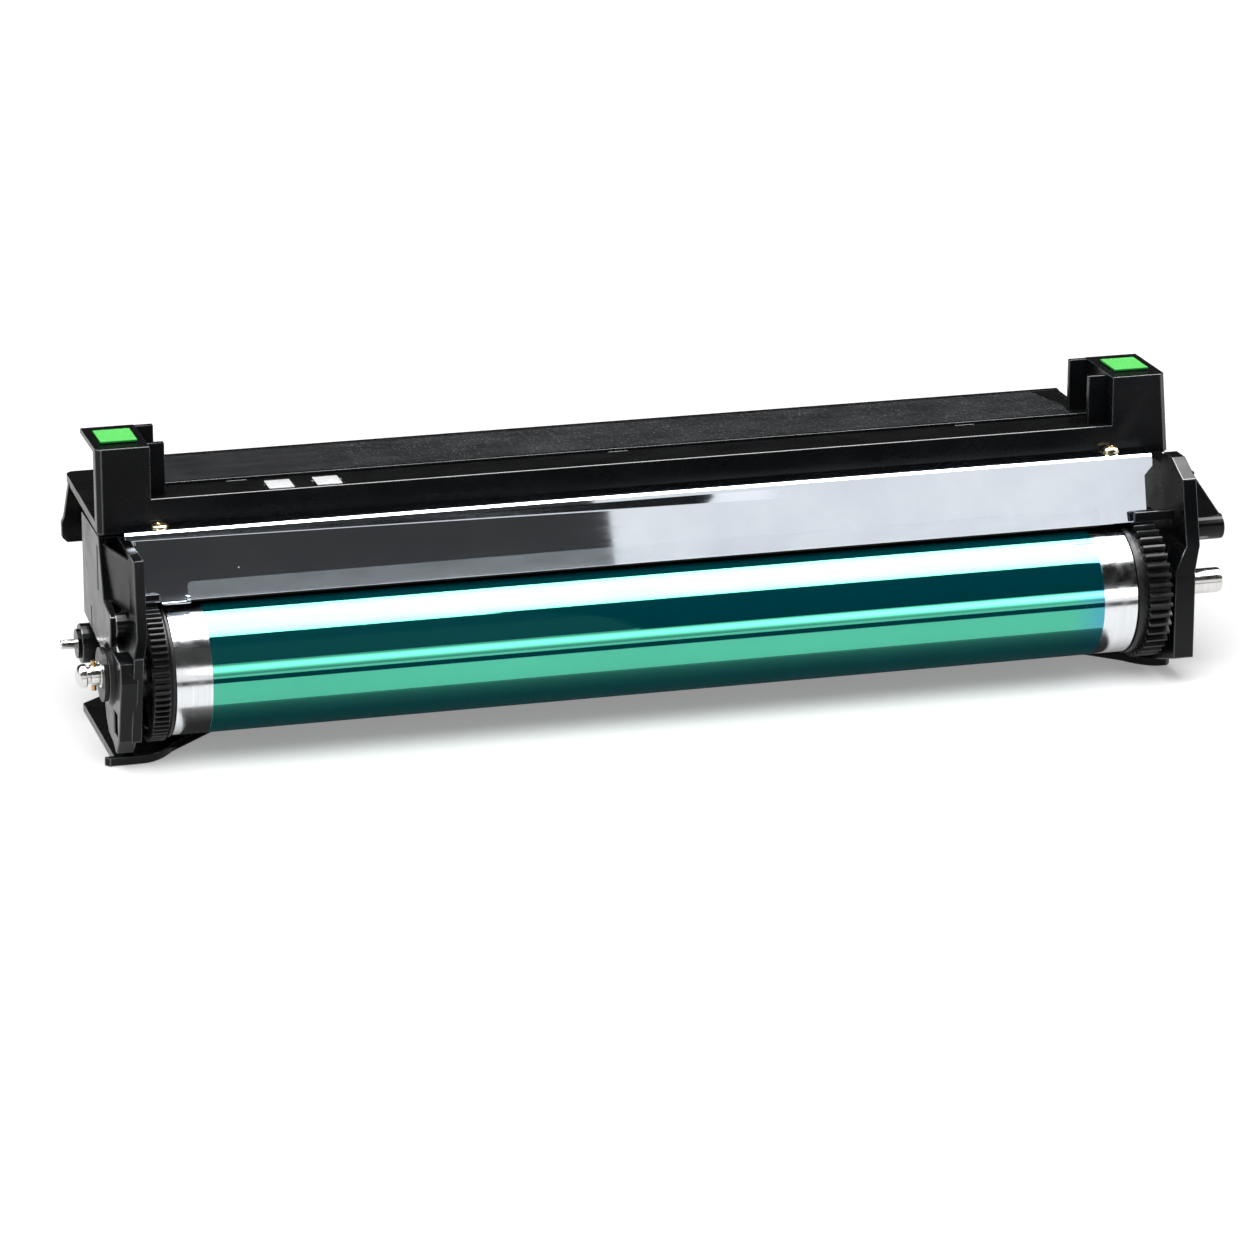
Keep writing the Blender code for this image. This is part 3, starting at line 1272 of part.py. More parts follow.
def blade_bracket():
    """One folded sheet: a leaning face and a flange that goes back to the front wall."""
    lean = BRACKET_LEAN
    under = BRACKET_TOP_Z - SHEET
    inner_y = BRACKET_TOP_Y + SHEET * (1 - sin(lean)) / cos(lean)
    section = [
        (BRACKET_TOP_Y, BRACKET_TOP_Z),
        (FRONT_Y - GAP, BRACKET_TOP_Z),
        (FRONT_Y - GAP, under),
        (inner_y, under),
        (BRACKET_LOW_Y + SHEET * cos(lean), BRACKET_LOW_Z - SHEET * sin(lean)),
        (BRACKET_LOW_Y, BRACKET_LOW_Z),
    ]
    section = rounded(section, [BRACKET_BEND, 0, 0, GAP, 0, 0])
    low = BRACKET_LOW_Z - WALL
    cuts = []
    for side, end, shoulder, rise in (
        (-1, BRACKET_LEFT, LEFT_SHOULDER_Z, BRACKET_SHOULDER / 3),
        (1, BRACKET_RIGHT, RIGHT_SHOULDER_Z, BRACKET_SHOULDER),
    ):
        outline = [
            (side * end, shoulder + rise),
            (side * (end - BRACKET_SHOULDER), shoulder),
            (side * (end - BRACKET_SHOULDER), low),
            (side * (end + WALL), low),
            (side * (end + WALL), shoulder + rise),
        ]
        cuts.append(prism(outline, "Y", BRACKET_LOW_Y - WALL, FRONT_Y + WALL))
        hole = circle((side * BLADE_SCREW_X, BLADE_SCREW_Y), SCREW_SHANK_RADIUS + GAP, 16)
        cuts.append(prism(hole, "Z", under - WALL, BRACKET_TOP_Z + WALL))
    piece("blade_bracket", ZINC_SHEET, [prism(section, "X", -BRACKET_LEFT, BRACKET_RIGHT)], cuts)


def blade_and_film():
    """The blade behind the bracket's face and the clear film along its front edge, both
    drawn in the plane of that face."""
    back = SHEET + GAP
    blade = block(
        (-BLADE_HALF, BLADE_HALF),
        (back, back + BLADE_THICKNESS),
        (-BLADE_DROP, BLADE_HEIGHT - BLADE_DROP),
    )
    piece("cleaning_blade", BLADE_RUBBER, [blade], parent=BRACKET_PLANE)
    outline = [
        (-BLADE_FILM_HALF, GAP),
        (BLADE_FILM_HALF, GAP),
        (BLADE_FILM_HALF, BLADE_FILM_HEIGHT),
        (-BLADE_FILM_HALF, BLADE_FILM_HEIGHT),
    ]
    outline = rounded(outline, [0, 0, BLADE_FILM_CORNER, BLADE_FILM_CORNER], 4)
    film = prism(outline, "Y", -PRESS_GAP - BLADE_FILM_THICKNESS, -PRESS_GAP)
    piece("blade_film", CLEAR_FILM, [film], parent=BRACKET_PLANE)


def lip_film():
    """The thin strip on the chamber's lower lip, which points at the drum."""
    run = hypot(LIP_RUN, LIP_FALL)
    along = (LIP_RUN / run, -LIP_FALL / run)
    up = (LIP_FALL / run, LIP_RUN / run)
    top = PRESS_GAP + LIP_FILM_THICKNESS
    outline = []
    for distance, height in (
        (-LIP_FILM_REACH, PRESS_GAP),
        (run - GAP, PRESS_GAP),
        (run - GAP, top),
        (-LIP_FILM_REACH, top),
    ):
        y = LIP_Y + along[0] * distance + up[0] * height
        z = LIP_Z + along[1] * distance + up[1] * height
        outline.append((y, z))
    piece("lip_film", CLEAR_FILM, [prism(outline, "X", -LIP_FILM_HALF, LIP_FILM_HALF)])


def felt_seal(name, side):
    outer = DRUM_HOLLOW - GAP
    start = BLADE_HALF + GAP * 2
    outline = sector(outer - SEAL_THICKNESS, outer, SEAL_START, SEAL_END, SEAL_STEPS)
    piece(name, FELT, [prism(outline, "X", side * start, side * (start + SEAL_WIDTH))])


def pad(name, finish, centre, length, depth, z):
    x = (centre[0] - length / 2, centre[0] + length / 2)
    y = (centre[1] - depth / 2, centre[1] + depth / 2)
    piece(name, finish, [block(x, y, z)])


def pads():
    floor = DECK_Z - PAD_POCKET + PRESS_GAP
    z = (floor, floor + PAD_THICKNESS)
    for name, x in zip(("sensor_pad_1", "sensor_pad_2"), PAD_CENTRES_X):
        pad(name, WHITE_PAD, (x, PAD_CENTRE_Y), PAD_LENGTH, PAD_DEPTH, z)
    middle = (TOWER_OUTER + TOWER_INNER) / 2
    base = TOWER_TOP_Z + PRESS_GAP
    for name, x, drop in (
        ("green_pad_left", -middle, 0),
        ("green_pad_right", middle, RIGHT_TOWER_DROP),
    ):
        z = (base - drop, base - drop + GREEN_PAD_THICKNESS)
        pad(name, GREEN_FOAM, (x, GREEN_PAD_CENTRE_Y), GREEN_PAD_LENGTH, GREEN_PAD_DEPTH, z)


# Charge roller


def charge_roller():
    core = [
        (-CHARGE_CORE_HALF, 0),
        (-CHARGE_CORE_HALF, CHARGE_CORE_RADIUS),
        (CHARGE_CORE_HALF, CHARGE_CORE_RADIUS),
        (CHARGE_CORE_HALF, 0),
    ]
    piece("charge_core", STEEL, [turned(core, AXLE_SEGMENTS)], parent=CHARGE_SPINDLE)
    inner = CHARGE_CORE_RADIUS + PRESS_GAP
    sleeve = [
        (-CHARGE_HALF, inner),
        (-CHARGE_HALF, CHARGE_RADIUS - GAP),
        (-CHARGE_HALF + GAP, CHARGE_RADIUS),
        (CHARGE_HALF - GAP, CHARGE_RADIUS),
        (CHARGE_HALF, CHARGE_RADIUS - GAP),
        (CHARGE_HALF, inner),
    ]
    rubber = turned(sleeve, CHARGE_SEGMENTS)
    piece("charge_sleeve", ROLLER_RUBBER, [rubber], parent=CHARGE_SPINDLE)


def charge_bearing(name, side):
    half = CHARGE_BEARING_HALF
    width = CHARGE_BEARING_WIDTH / 2
    x = (side * (CHARGE_BEARING_X - width), side * (CHARGE_BEARING_X + width))
    body = [
        (CHARGE_Y - half, CHARGE_Z - half),
        (CHARGE_Y + half, CHARGE_Z - half),
        (CHARGE_Y + half, CHARGE_Z + half),
        (CHARGE_Y - half, CHARGE_Z + half),
    ]
    body = rounded(body, [GAP, GAP, half * 0.8, half * 0.8], 4)
    hole_x = (x[0] - side * WALL, x[1] + side * WALL)
    hole = bar((CHARGE_Y, CHARGE_Z), CHARGE_CORE_RADIUS + RUNNING_GAP, hole_x)
    piece(name, WHITE_MOULDING, [prism(body, "X", *x)], [hole])


def charge_spring(name, side):
    """A coil spring that stands on the base and holds a bearing up."""
    low = BASE_TOP_Z + GAP + SPRING_WIRE
    high = CHARGE_Z - CHARGE_BEARING_HALF - GAP - SPRING_WIRE
    rings = []
    total = SPRING_TURNS * SPRING_STEPS
    for i in range(total + 1):
        turn = 2 * pi * i / SPRING_STEPS
        height = low + (high - low) * i / total
        ring = []
        for j in range(SPRING_SIDES):
            angle = 2 * pi * j / SPRING_SIDES
            radius = SPRING_RADIUS + SPRING_WIRE * cos(angle)
            x = side * CHARGE_BEARING_X + radius * cos(turn)
            y = CHARGE_Y + radius * sin(turn)
            ring.append((x, y, height + SPRING_WIRE * sin(angle)))
        rings.append(ring)
    piece(name, STEEL, [skin(rings)])


# Waste auger and its gears


def auger_screw():
    """A twisted bar: a round hub with one lobe, so that the lobe runs as a flight."""
    steps = AUGER_TURNS * AUGER_STEPS_A_TURN
    hub = arc((0, 0), AUGER_HUB_RADIUS, AUGER_LOBE, 2 * pi - AUGER_LOBE, 5)
    lobe = arc((0, 0), AUGER_FLIGHT_RADIUS, -AUGER_LOBE / 2, AUGER_LOBE / 2, 1)
    rings = []
    for i in range(steps + 1):
        x = -AUGER_HALF + 2 * AUGER_HALF * i / steps
        turn = 2 * pi * i / AUGER_STEPS_A_TURN
        ring = [
            (x, y * cos(turn) - z * sin(turn), y * sin(turn) + z * cos(turn))
            for y, z in hub + lobe
        ]
        rings.append(ring)
    journal_x = (AUGER_HALF - WALL, TOWER_INNER - GAP)
    journal = bar((0, 0), AUGER_JOURNAL_RADIUS, journal_x, 20)
    socket_x = (-AUGER_HALF - WALL, -AUGER_HALF + AUGER_SOCKET_DEPTH)
    socket = bar((0, 0), AUGER_SHAFT_RADIUS + PRESS_GAP, socket_x, 20)
    piece("auger_screw", WHITE_MOULDING, [skin(rings), journal], [socket], AUGER_SPINDLE)


def auger_shaft():
    end = -AUGER_HALF + AUGER_SOCKET_DEPTH - GAP
    chamfer = AUGER_SHAFT_RADIUS / 4
    profile = [
        (AUGER_LEFT_END, 0),
        (AUGER_LEFT_END, AUGER_SHAFT_RADIUS - chamfer),
        (AUGER_LEFT_END + chamfer, AUGER_SHAFT_RADIUS),
        (end, AUGER_SHAFT_RADIUS),
        (end, 0),
    ]
    piece("auger_shaft", STEEL, [turned(profile, 20)], parent=AUGER_SPINDLE)


def small_gear(name, teeth, bore, phase, parent):
    outline = gear_outline(teeth, GEAR_MODULE, phase)
    gear = prism(outline, "X", LEFT_GEAR_FACE - GAP, LEFT_GEAR_BACK + GAP)
    hole = bar((0, 0), bore, (LEFT_GEAR_FACE + WALL, LEFT_GEAR_BACK - WALL), 20)
    piece(name, WHITE_MOULDING, [gear], [hole], parent)


def auger_bush():
    bore = AUGER_SHAFT_RADIUS + RUNNING_GAP
    inner = LEFT_LOW_FACE - OVERLAP
    rim = AUGER_BOSS_END - PRESS_GAP
    end = AUGER_BOSS_END - AUGER_BUSH_FLANGE
    profile = [
        (inner, bore),
        (inner, AUGER_BUSH_RADIUS),
        (rim, AUGER_BUSH_RADIUS),
        (rim, AUGER_BUSH_FLANGE_RADIUS),
        (end, AUGER_BUSH_FLANGE_RADIUS),
        (end, bore),
    ]
    piece("auger_bush", BLACK_MOULDING, [turned(profile, 20, (AUGER_Y, AUGER_Z))])


# Tooth phases: each tooth stands in a gap where two gears meet
DRUM_TO_IDLER = atan2(IDLER_CENTRE[1], IDLER_CENTRE[0])
IDLER_TO_AUGER = atan2(AUGER_Z - IDLER_CENTRE[1], AUGER_Y - IDLER_CENTRE[0])
IDLER_PHASE = DRUM_TO_IDLER + pi + pi / IDLER_TEETH
TOOTH_LEAD = (IDLER_PHASE - IDLER_TO_AUGER) * IDLER_TEETH / AUGER_GEAR_TEETH
AUGER_PHASE = IDLER_TO_AUGER + pi - TOOTH_LEAD + pi / AUGER_GEAR_TEETH

drum_tube()
gear_flange(
    "left_gear_flange",
    -1,
    gear_outline(LEFT_GEAR_TEETH, GEAR_MODULE, DRUM_TO_IDLER),
    LEFT_GEAR_RADIUS - 1.25 * GEAR_MODULE,
    LEFT_COLLAR_WIDTH,
    LEFT_GEAR_WIDTH,
)
gear_flange(
    "right_gear_flange",
    1,
    gear_outline(RIGHT_GEAR_TEETH, RIGHT_GEAR_MODULE),
    (RIGHT_GEAR_TEETH / 2 - 1.25) * RIGHT_GEAR_MODULE,
    RIGHT_COLLAR_WIDTH,
    RIGHT_GEAR_WIDTH,
)
axle()
bush("left_bush", LEFT_HUB_END, LEFT_LOW_FACE - LEFT_HUB_END, -1)
bush("right_bush", RIGHT_HUB_END, RIGHT_HUB_END - RIGHT_LOW_FACE, 1)
main_frame()
top_lid()
left_end_plate()
right_end_plate()
for screw_name, screw_centre, screw_side, screw_end, screw_web in posts():
    screw_x = screw_side * (screw_end + GAP + screw_web + GAP)
    screw(f"plate_screw_{screw_name}", (screw_x, *screw_centre), (-screw_side, 0, 0))
blade_bracket()
blade_and_film()
lip_film()
for screw_name, screw_side in (("left", -1), ("right", 1)):
    screw_place = (screw_side * BLADE_SCREW_X, BLADE_SCREW_Y, BRACKET_TOP_Z + PRESS_GAP)
    screw(f"blade_screw_{screw_name}", screw_place, (0, 0, -1))
felt_seal("felt_seal_left", -1)
felt_seal("felt_seal_right", 1)
pads()
charge_roller()
charge_bearing("charge_bearing_left", -1)
charge_bearing("charge_bearing_right", 1)
charge_spring("charge_spring_left", -1)
charge_spring("charge_spring_right", 1)
auger_screw()
auger_shaft()
auger_bush()
auger_bore = AUGER_SHAFT_RADIUS + PRESS_GAP
idler_bore = IDLER_PEG_RADIUS + RUNNING_GAP
small_gear("auger_gear", AUGER_GEAR_TEETH, auger_bore, AUGER_PHASE, AUGER_SPINDLE)
small_gear("idler_gear", IDLER_TEETH, idler_bore, IDLER_PHASE, IDLER_SPINDLE)
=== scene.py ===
"""Looks of the printer drum unit: finer pieces over the CAD nodes, their finishes, and a
plain white studio."""

from math import acos, atan2, cos, pi, radians, sin, sqrt, tan

import bmesh
import bpy
from mathutils import Matrix, Vector


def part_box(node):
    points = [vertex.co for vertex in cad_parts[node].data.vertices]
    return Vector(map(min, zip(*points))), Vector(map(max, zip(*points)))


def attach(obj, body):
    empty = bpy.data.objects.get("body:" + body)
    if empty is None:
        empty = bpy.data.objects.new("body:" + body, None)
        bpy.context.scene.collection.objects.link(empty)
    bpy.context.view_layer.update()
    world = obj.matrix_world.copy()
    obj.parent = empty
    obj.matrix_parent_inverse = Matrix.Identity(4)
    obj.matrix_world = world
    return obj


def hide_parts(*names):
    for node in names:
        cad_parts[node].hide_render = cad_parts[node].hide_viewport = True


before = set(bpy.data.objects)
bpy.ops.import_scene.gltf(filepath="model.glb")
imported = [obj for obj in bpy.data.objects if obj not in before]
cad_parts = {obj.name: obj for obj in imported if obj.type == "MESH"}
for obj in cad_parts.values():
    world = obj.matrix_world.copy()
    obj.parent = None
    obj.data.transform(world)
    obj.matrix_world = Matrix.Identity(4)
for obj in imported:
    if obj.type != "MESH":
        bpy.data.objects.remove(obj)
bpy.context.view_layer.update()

# Sizes below are in millimetres about the drum's axis: X along it, Y to the back, Z up.
MM = 0.001
AXIS_Y = -29.5
AXIS_Z = 20.5

COAT_HALF = 105.45
DRUM_HALF = 113.9
DRUM_RADIUS = 15.0
TUBE_WALL = 1.0

# Gears: the fine module is the waste drive's, the coarse one the right gear's.
FINE_MODULE = 0.47
COARSE_MODULE = 0.75
LEFT_TEETH = 66
RIGHT_TEETH = 42
IDLER_TEETH = 19
AUGER_TEETH = 24
AUGER_DISTANCE = 29.85
AUGER_Z = -2.0
PRESSURE_ANGLE = radians(20)
ADDENDUM = 0.97
DEDENDUM = 1.22
TOOTH_SHARE = 0.94

# Screws
HEAD_RADIUS = 1.9
HEAD_HEIGHT = 1.4
SHANK_RADIUS = 0.9
SCREW_LENGTH = 6.0


def place(x, y, z):
    """A point given about the drum's axis, as the frame has it in metres."""
    return Vector((x, y + AXIS_Y, z + AXIS_Z)) * MM


DRUM_AXIS = place(0, 0, 0)


# Nodes


def add(tree, kind, values=None, **settings):
    """Adds a node. Each value is a number, a colour or another node's output."""
    made = tree.nodes.new(kind)
    for setting, value in settings.items():
        setattr(made, setting, value)
    for socket, value in (values or {}).items():
        if isinstance(value, bpy.types.NodeSocket):
            tree.links.new(value, made.inputs[socket])
        else:
            made.inputs[socket].default_value = value
    return made


def paint(code):
    """An sRGB colour such as #20A070 as the linear one that the shader takes."""
    parts = [int(code[i : i + 2], 16) / 255 for i in (1, 3, 5)]
    linear = [p / 12.92 if p <= 0.04045 else ((p + 0.055) / 1.055) ** 2.4 for p in parts]
    return (*linear, 1.0)


# Finishes


def finish(name, colour, roughness, **values):
    """A plain finish, and the tree and shader to work it up with."""
    made = bpy.data.materials.new(name)
    made.use_nodes = True
    tree = made.node_tree
    shader = tree.nodes["Principled BSDF"]
    shader.inputs["Base Color"].default_value = paint(colour)
    shader.inputs["Roughness"].default_value = roughness
    for socket, value in values.items():
        shader.inputs[socket.replace("_", " ")].default_value = value
    return made, tree, shader


def surface(tree, stretch=(1, 1, 1)):
    """Places on the piece, in metres, stretched along the axes."""
    where = add(tree, "ShaderNodeTexCoord").outputs["Object"]
    return add(tree, "ShaderNodeMapping", {"Vector": where, "Scale": stretch}).outputs["Vector"]


def mottle(tree, size, stretch=(1, 1, 1), detail=4.0, roughness=0.55):
    """Cloudy variation whose patches are the size given in millimetres."""
    values = {
        "Vector": surface(tree, stretch),
        "Scale": 1 / (size * MM),
        "Detail": detail,
        "Roughness": roughness,
    }
    return add(tree, "ShaderNodeTexNoise", values).outputs["Fac"]


def cells(tree, size, output="Distance", **settings):
    """Scattered cells of the size given in millimetres."""
    values = {"Vector": surface(tree), "Scale": 1 / (size * MM)}
    return add(tree, "ShaderNodeTexVoronoi", values, **settings).outputs[output]


def ramp(tree, value, start, end, low=0.0, high=1.0):
    """The value from start to end drawn out from low to high, and held beyond."""
    values = {
        "Value": value,
        "From Min": start,
        "From Max": end,
        "To Min": low,
        "To Max": high,
    }
    return add(tree, "ShaderNodeMapRange", values).outputs["Result"]


def times(tree, first, second, operation="MULTIPLY"):
    return add(tree, "ShaderNodeMath", {0: first, 1: second}, operation=operation).outputs[0]


def two_tone(tree, share, first, second):
    """The first colour where the share is 0, and the second where it is 1."""
    values = {0: share}
    mixed = add(tree, "ShaderNodeMix", values, data_type="RGBA")
    for index, colour in ((6, first), (7, second)):
        if isinstance(colour, bpy.types.NodeSocket):
            tree.links.new(colour, mixed.inputs[index])
        else:
            mixed.inputs[index].default_value = paint(colour)
    return mixed.outputs[2]


def along(tree, axis):
    """How far a point lies along X, Y or Z, in metres."""
    where = add(tree, "ShaderNodeTexCoord").outputs["Object"]
    return add(tree, "ShaderNodeSeparateXYZ", {0: where}).outputs[axis]


def facing_up(tree):
    normal = add(tree, "ShaderNodeNewGeometry").outputs["Normal"]
    return add(tree, "ShaderNodeSeparateXYZ", {0: normal}).outputs["Z"]


def relief(tree, shader, height, depth, strength=1.0):
    """Raises the surface by a height from 0 to 1 times the depth in millimetres."""
    values = {"Height": height, "Distance": depth * MM, "Strength": strength}
    previous = shader.inputs["Normal"].links
    if previous:
        values["Normal"] = previous[0].from_socket
    made = add(tree, "ShaderNodeBump", values)
    tree.links.new(made.outputs["Normal"], shader.inputs["Normal"])


def set_link(tree, shader, socket, output):
    tree.links.new(output, shader.inputs[socket])


def specks(tree, size, outer, inner, rarity):
    """1 on small specks and 0 elsewhere. Cells of the size given hold one each, but only
    where their chance passes the rarity."""
    near = ramp(tree, cells(tree, size), outer, inner)
    chosen = ramp(tree, cells(tree, size, output="Color"), rarity, rarity + 0.01)
    return times(tree, near, chosen)


def patched(tree, shader, size, first, second, start=0.3, end=0.7):
    """Lets the colour wander between two tones, in patches of the size given."""
    share = ramp(tree, mottle(tree, size), start, end)
    set_link(tree, shader, "Base Color", two_tone(tree, share, first, second))


def varied_gloss(tree, shader, pattern, low, high):
    """Lets the roughness follow a pattern from low to high."""
    set_link(tree, shader, "Roughness", ramp(tree, pattern, 0.3, 0.7, low, high))


def moulded_black(name, colour="#070809", lighter_tone="#0F1012", rough=(0.22, 0.32), pebble=None):
    """Black ABS from a polished mould: deep black with a soft gloss that varies a little
    with the flow, faint sink marks, and a little dust. A pebble, as where it starts and
    ends along X, its grain's size and its depth, textures it, with painted glints as pale tips."""
    made, tree, shader = finish(name, colour, 0.3, Specular_IOR_Level=0.2)
    body = two_tone(tree, ramp(tree, mottle(tree, 14), 0.35, 0.7), colour, lighter_tone)
    dust = specks(tree, 2.6, 0.10, 0.05, 0.86)
    set_link(tree, shader, "Base Color", two_tone(tree, dust, body, "#6A6D70"))
    varied_gloss(tree, shader, mottle(tree, 5, (0.5, 1, 1), 6), *rough)
    relief(tree, shader, mottle(tree, 9, detail=2), 0.02)
    if pebble:
        start, end, size, depth = pebble
        mask = ramp(tree, along(tree, "X"), start * MM, end * MM)
        grain = cells(tree, size, feature="SMOOTH_F1")
        relief(tree, shader, times(tree, grain, mask), depth)
        # Painted glints: pale grey on the grains' tips, in patches, where the pebble lies.
        glint_tips = times(tree, ramp(tree, cells(tree, size), 0.34, 0.12), mask)
        patchy = times(tree, glint_tips, ramp(tree, mottle(tree, 3), 0.4, 0.6, 0.35, 1.0))
        plain = shader.inputs["Base Color"].links[0].from_socket
        set_link(tree, shader, "Base Color", two_tone(tree, patchy, plain, "#6B6E71"))
    return made


def painted_edge_highlight():
    """The same ABS on an edge, with a painted highlight: a paler grey and far glossier
    towards the front, and as black as the moulding at the back, where no highlight is painted."""
    made, tree, shader = finish("edge_painted_highlight_black", "#2A2C2F", 0.2, Specular_IOR_Level=0.7)
    highlight_patches = ramp(tree, mottle(tree, 6), 0.35, 0.65)
    highlit_front = ramp(tree, along(tree, "Y"), 6 * MM, 2 * MM)
    lighter_tone = two_tone(tree, highlight_patches, "#141517", "#34373A")
    # Painted highlight: the front edges take a paler grey, in patches; the back edges stay black.
    set_link(tree, shader, "Base Color", two_tone(tree, highlit_front, "#08090A", lighter_tone))
    set_link(tree, shader, "Specular IOR Level", ramp(tree, highlit_front, 0, 1, 0.1, 0.8))
    set_link(tree, shader, "Roughness", ramp(tree, highlight_patches, 0, 1, 0.26, 0.16))
    return made


HOUSING_BLACK = moulded_black("housing_black_moulding")
PLATE_BLACK = moulded_black("end_plate_black_moulding", rough=(0.18, 0.3))
LID_BLACK = moulded_black(
    "lid_grained_black_moulding", "#1B1C1E", "#26282A", (0.36, 0.5), (-84, -60, 0.8, 0.1)
)
EDGE_BLACK = painted_edge_highlight()


def black_acetal():
    """Moulded black acetal, as gears are: close to matt, with a waxy sheen."""
    made, tree, shader = finish("gear_black_acetal", "#0D0E0F", 0.4, Specular_IOR_Level=0.4)
    patched(tree, shader, 3, "#0B0C0D", "#18191B", 0.35)
    varied_gloss(tree, shader, mottle(tree, 1.5), 0.32, 0.46)
    relief(tree, shader, mottle(tree, 0.8), 0.01)
    return made


def photoconductor():
    """Green organic coating dipped on a mirror-turned tube: the metal shines through it,
    its own clear skin gives a second, uncoloured gloss, and its dye a little blue-green
    body. It is bluer towards its right end, where it drained thinnest."""
    made, tree, shader = finish(
        "drum_green_coating", "#3DB694", 0.05, Metallic=1.0, Coat_Weight=1.0, Coat_IOR=1.55
    )
    shader.inputs["Coat Roughness"].default_value = 0.03
    body = two_tone(tree, ramp(tree, mottle(tree, 30), 0.3, 0.7), "#36AD88", "#3DB58F")
    thin = ramp(tree, along(tree, "X"), (COAT_HALF - 8) * MM, (COAT_HALF + 1) * MM)
    set_link(tree, shader, "Base Color", two_tone(tree, thin, body, "#3799B4"))
    varied_gloss(tree, shader, mottle(tree, 6, (1, 0.2, 0.2), 3), 0.035, 0.06)
    values = {"Base Color": paint("#0093A4"), "Roughness": 0.7, "Specular IOR Level": 0.0}
    dye = add(tree, "ShaderNodeBsdfPrincipled", values).outputs[0]
    mixed = add(tree, "ShaderNodeMixShader", {0: 0.12, 1: shader.outputs[0], 2: dye})
    tree.links.new(mixed.outputs[0], tree.nodes["Material Output"].inputs["Surface"])
    return made


def turned_aluminium():
    """Bare drum ends, turned bright on a lathe: fine rings round the tube."""
    made, tree, shader = finish("drum_bare_aluminium", "#DCDEE0", 0.14, Metallic=1.0)
    rings = mottle(tree, 0.25, (1, 0.01, 0.01), 6)
    set_link(tree, shader, "Base Color", two_tone(tree, rings, "#C9CCCF", "#F0F1F2"))
    varied_gloss(tree, shader, mottle(tree, 2), 0.1, 0.2)
    relief(tree, shader, rings, 0.006)
    return made


def ground_steel():
    """Ground and polished steel: bright, with fine rings left by the wheel."""
    made, tree, shader = finish("axle_ground_steel", "#C4C2BE", 0.18, Metallic=1.0)
    rings = mottle(tree, 0.4, (1, 0.05, 0.05), 5)
    set_link(tree, shader, "Base Color", two_tone(tree, rings, "#C4C2BE", "#E9E8E6"))
    varied_gloss(tree, shader, mottle(tree, 1.2), 0.12, 0.24)
    relief(tree, shader, rings, 0.006)
    return made


def zinc_sheet():
    """Zinc-plated sheet as rolled: a long faint grain, cloudy spangle, and a few specks
    of dust that stay matt."""
    made, tree, shader = finish("bracket_zinc_sheet", "#DDE0E4", 0.06, Metallic=1.0)
    patched(tree, shader, 22, "#CFD6E0", "#DFE5EC")
    varied_gloss(tree, shader, mottle(tree, 0.7, (0.03, 1, 1), 5), 0.05, 0.08)
    values = {"Base Color": paint("#B9C0C6"), "Roughness": 0.8}
    dust = add(tree, "ShaderNodeBsdfPrincipled", values).outputs[0]
    share = specks(tree, 3.4, 0.07, 0.03, 0.8)
    mixed = add(tree, "ShaderNodeMixShader", {0: share, 1: shader.outputs[0], 2: dust})
    tree.links.new(mixed.outputs[0], tree.nodes["Material Output"].inputs["Surface"])
    return made


def screw_plating():
    """Zinc plate with a warm passivation film."""
    made, tree, shader = finish("screw_warm_zinc", "#E3D3A0", 0.2, Metallic=1.0)
    patched(tree, shader, 1.2, "#CDBB86", "#F1E9CF", 0.35, 0.65)
    varied_gloss(tree, shader, mottle(tree, 0.6), 0.14, 0.3)
    return made


def brass():
    """Bare brass pin, slightly dulled."""
    made, tree, shader = finish("key_brass", "#C9A06A", 0.25, Metallic=1.0)
    patched(tree, shader, 0.8, "#B48655", "#D8B887")
    varied_gloss(tree, shader, mottle(tree, 0.5), 0.2, 0.34)
    return made


def clear_film():
    """Thin polyester film laid on the sheet: see-through, with a frosted gloss."""
    made, tree, shader = finish(
        "clear_polyester_film", "#DDE2E6", 0.28, Alpha=0.07, Specular_IOR_Level=0.5
    )
    streaks = ramp(tree, mottle(tree, 1.6, (0.15, 1, 1), 4), 0.3, 0.7)
    set_link(tree, shader, "Base Color", two_tone(tree, streaks, "#CDD3D8", "#EEF1F3"))
    set_link(tree, shader, "Roughness", ramp(tree, streaks, 0, 1, 0.28, 0.4))
    relief(tree, shader, mottle(tree, 3, (0.3, 1, 1)), 0.02)
    return made


def green_foam():
    """Fine-celled green foam: no gloss, tiny open cells, and darker on its sides than on its top.
    """
    made, tree, shader = finish("pad_green_foam", "#5FDA63", 0.8, Specular_IOR_Level=0.1)
    pores = cells(tree, 0.35)
    top = two_tone(tree, ramp(tree, pores, 0.1, 0.5), "#4CCB55", "#66E06A")
    side = ramp(tree, facing_up(tree), 0.5, 0.8)
    set_link(tree, shader, "Base Color", two_tone(tree, side, "#1F7A33", top))
    relief(tree, shader, pores, 0.05, 0.7)
    return made


def rubber(name, colour, light, rough=0.5):
    """Ground elastomer: smooth, dull, and slightly patchy."""
    made, tree, shader = finish(name, colour, rough, Specular_IOR_Level=0.4)
    patched(tree, shader, 4, colour, light)
    varied_gloss(tree, shader, mottle(tree, 2), rough - 0.05, rough + 0.1)
    relief(tree, shader, mottle(tree, 0.5), 0.01)
    return made


def felt():
    """Pressed wool felt: short fibres in all directions, no gloss."""
    made, tree, shader = finish("seal_dark_felt", "#2C2C2B", 0.95, Sheen_Weight=0.3)
    fibres = mottle(tree, 0.4, (1, 3, 0.6), 8, 0.7)
    set_link(tree, shader, "Base Color", two_tone(tree, fibres, "#1C1C1C", "#474644"))
    relief(tree, shader, fibres, 0.15)
    return made


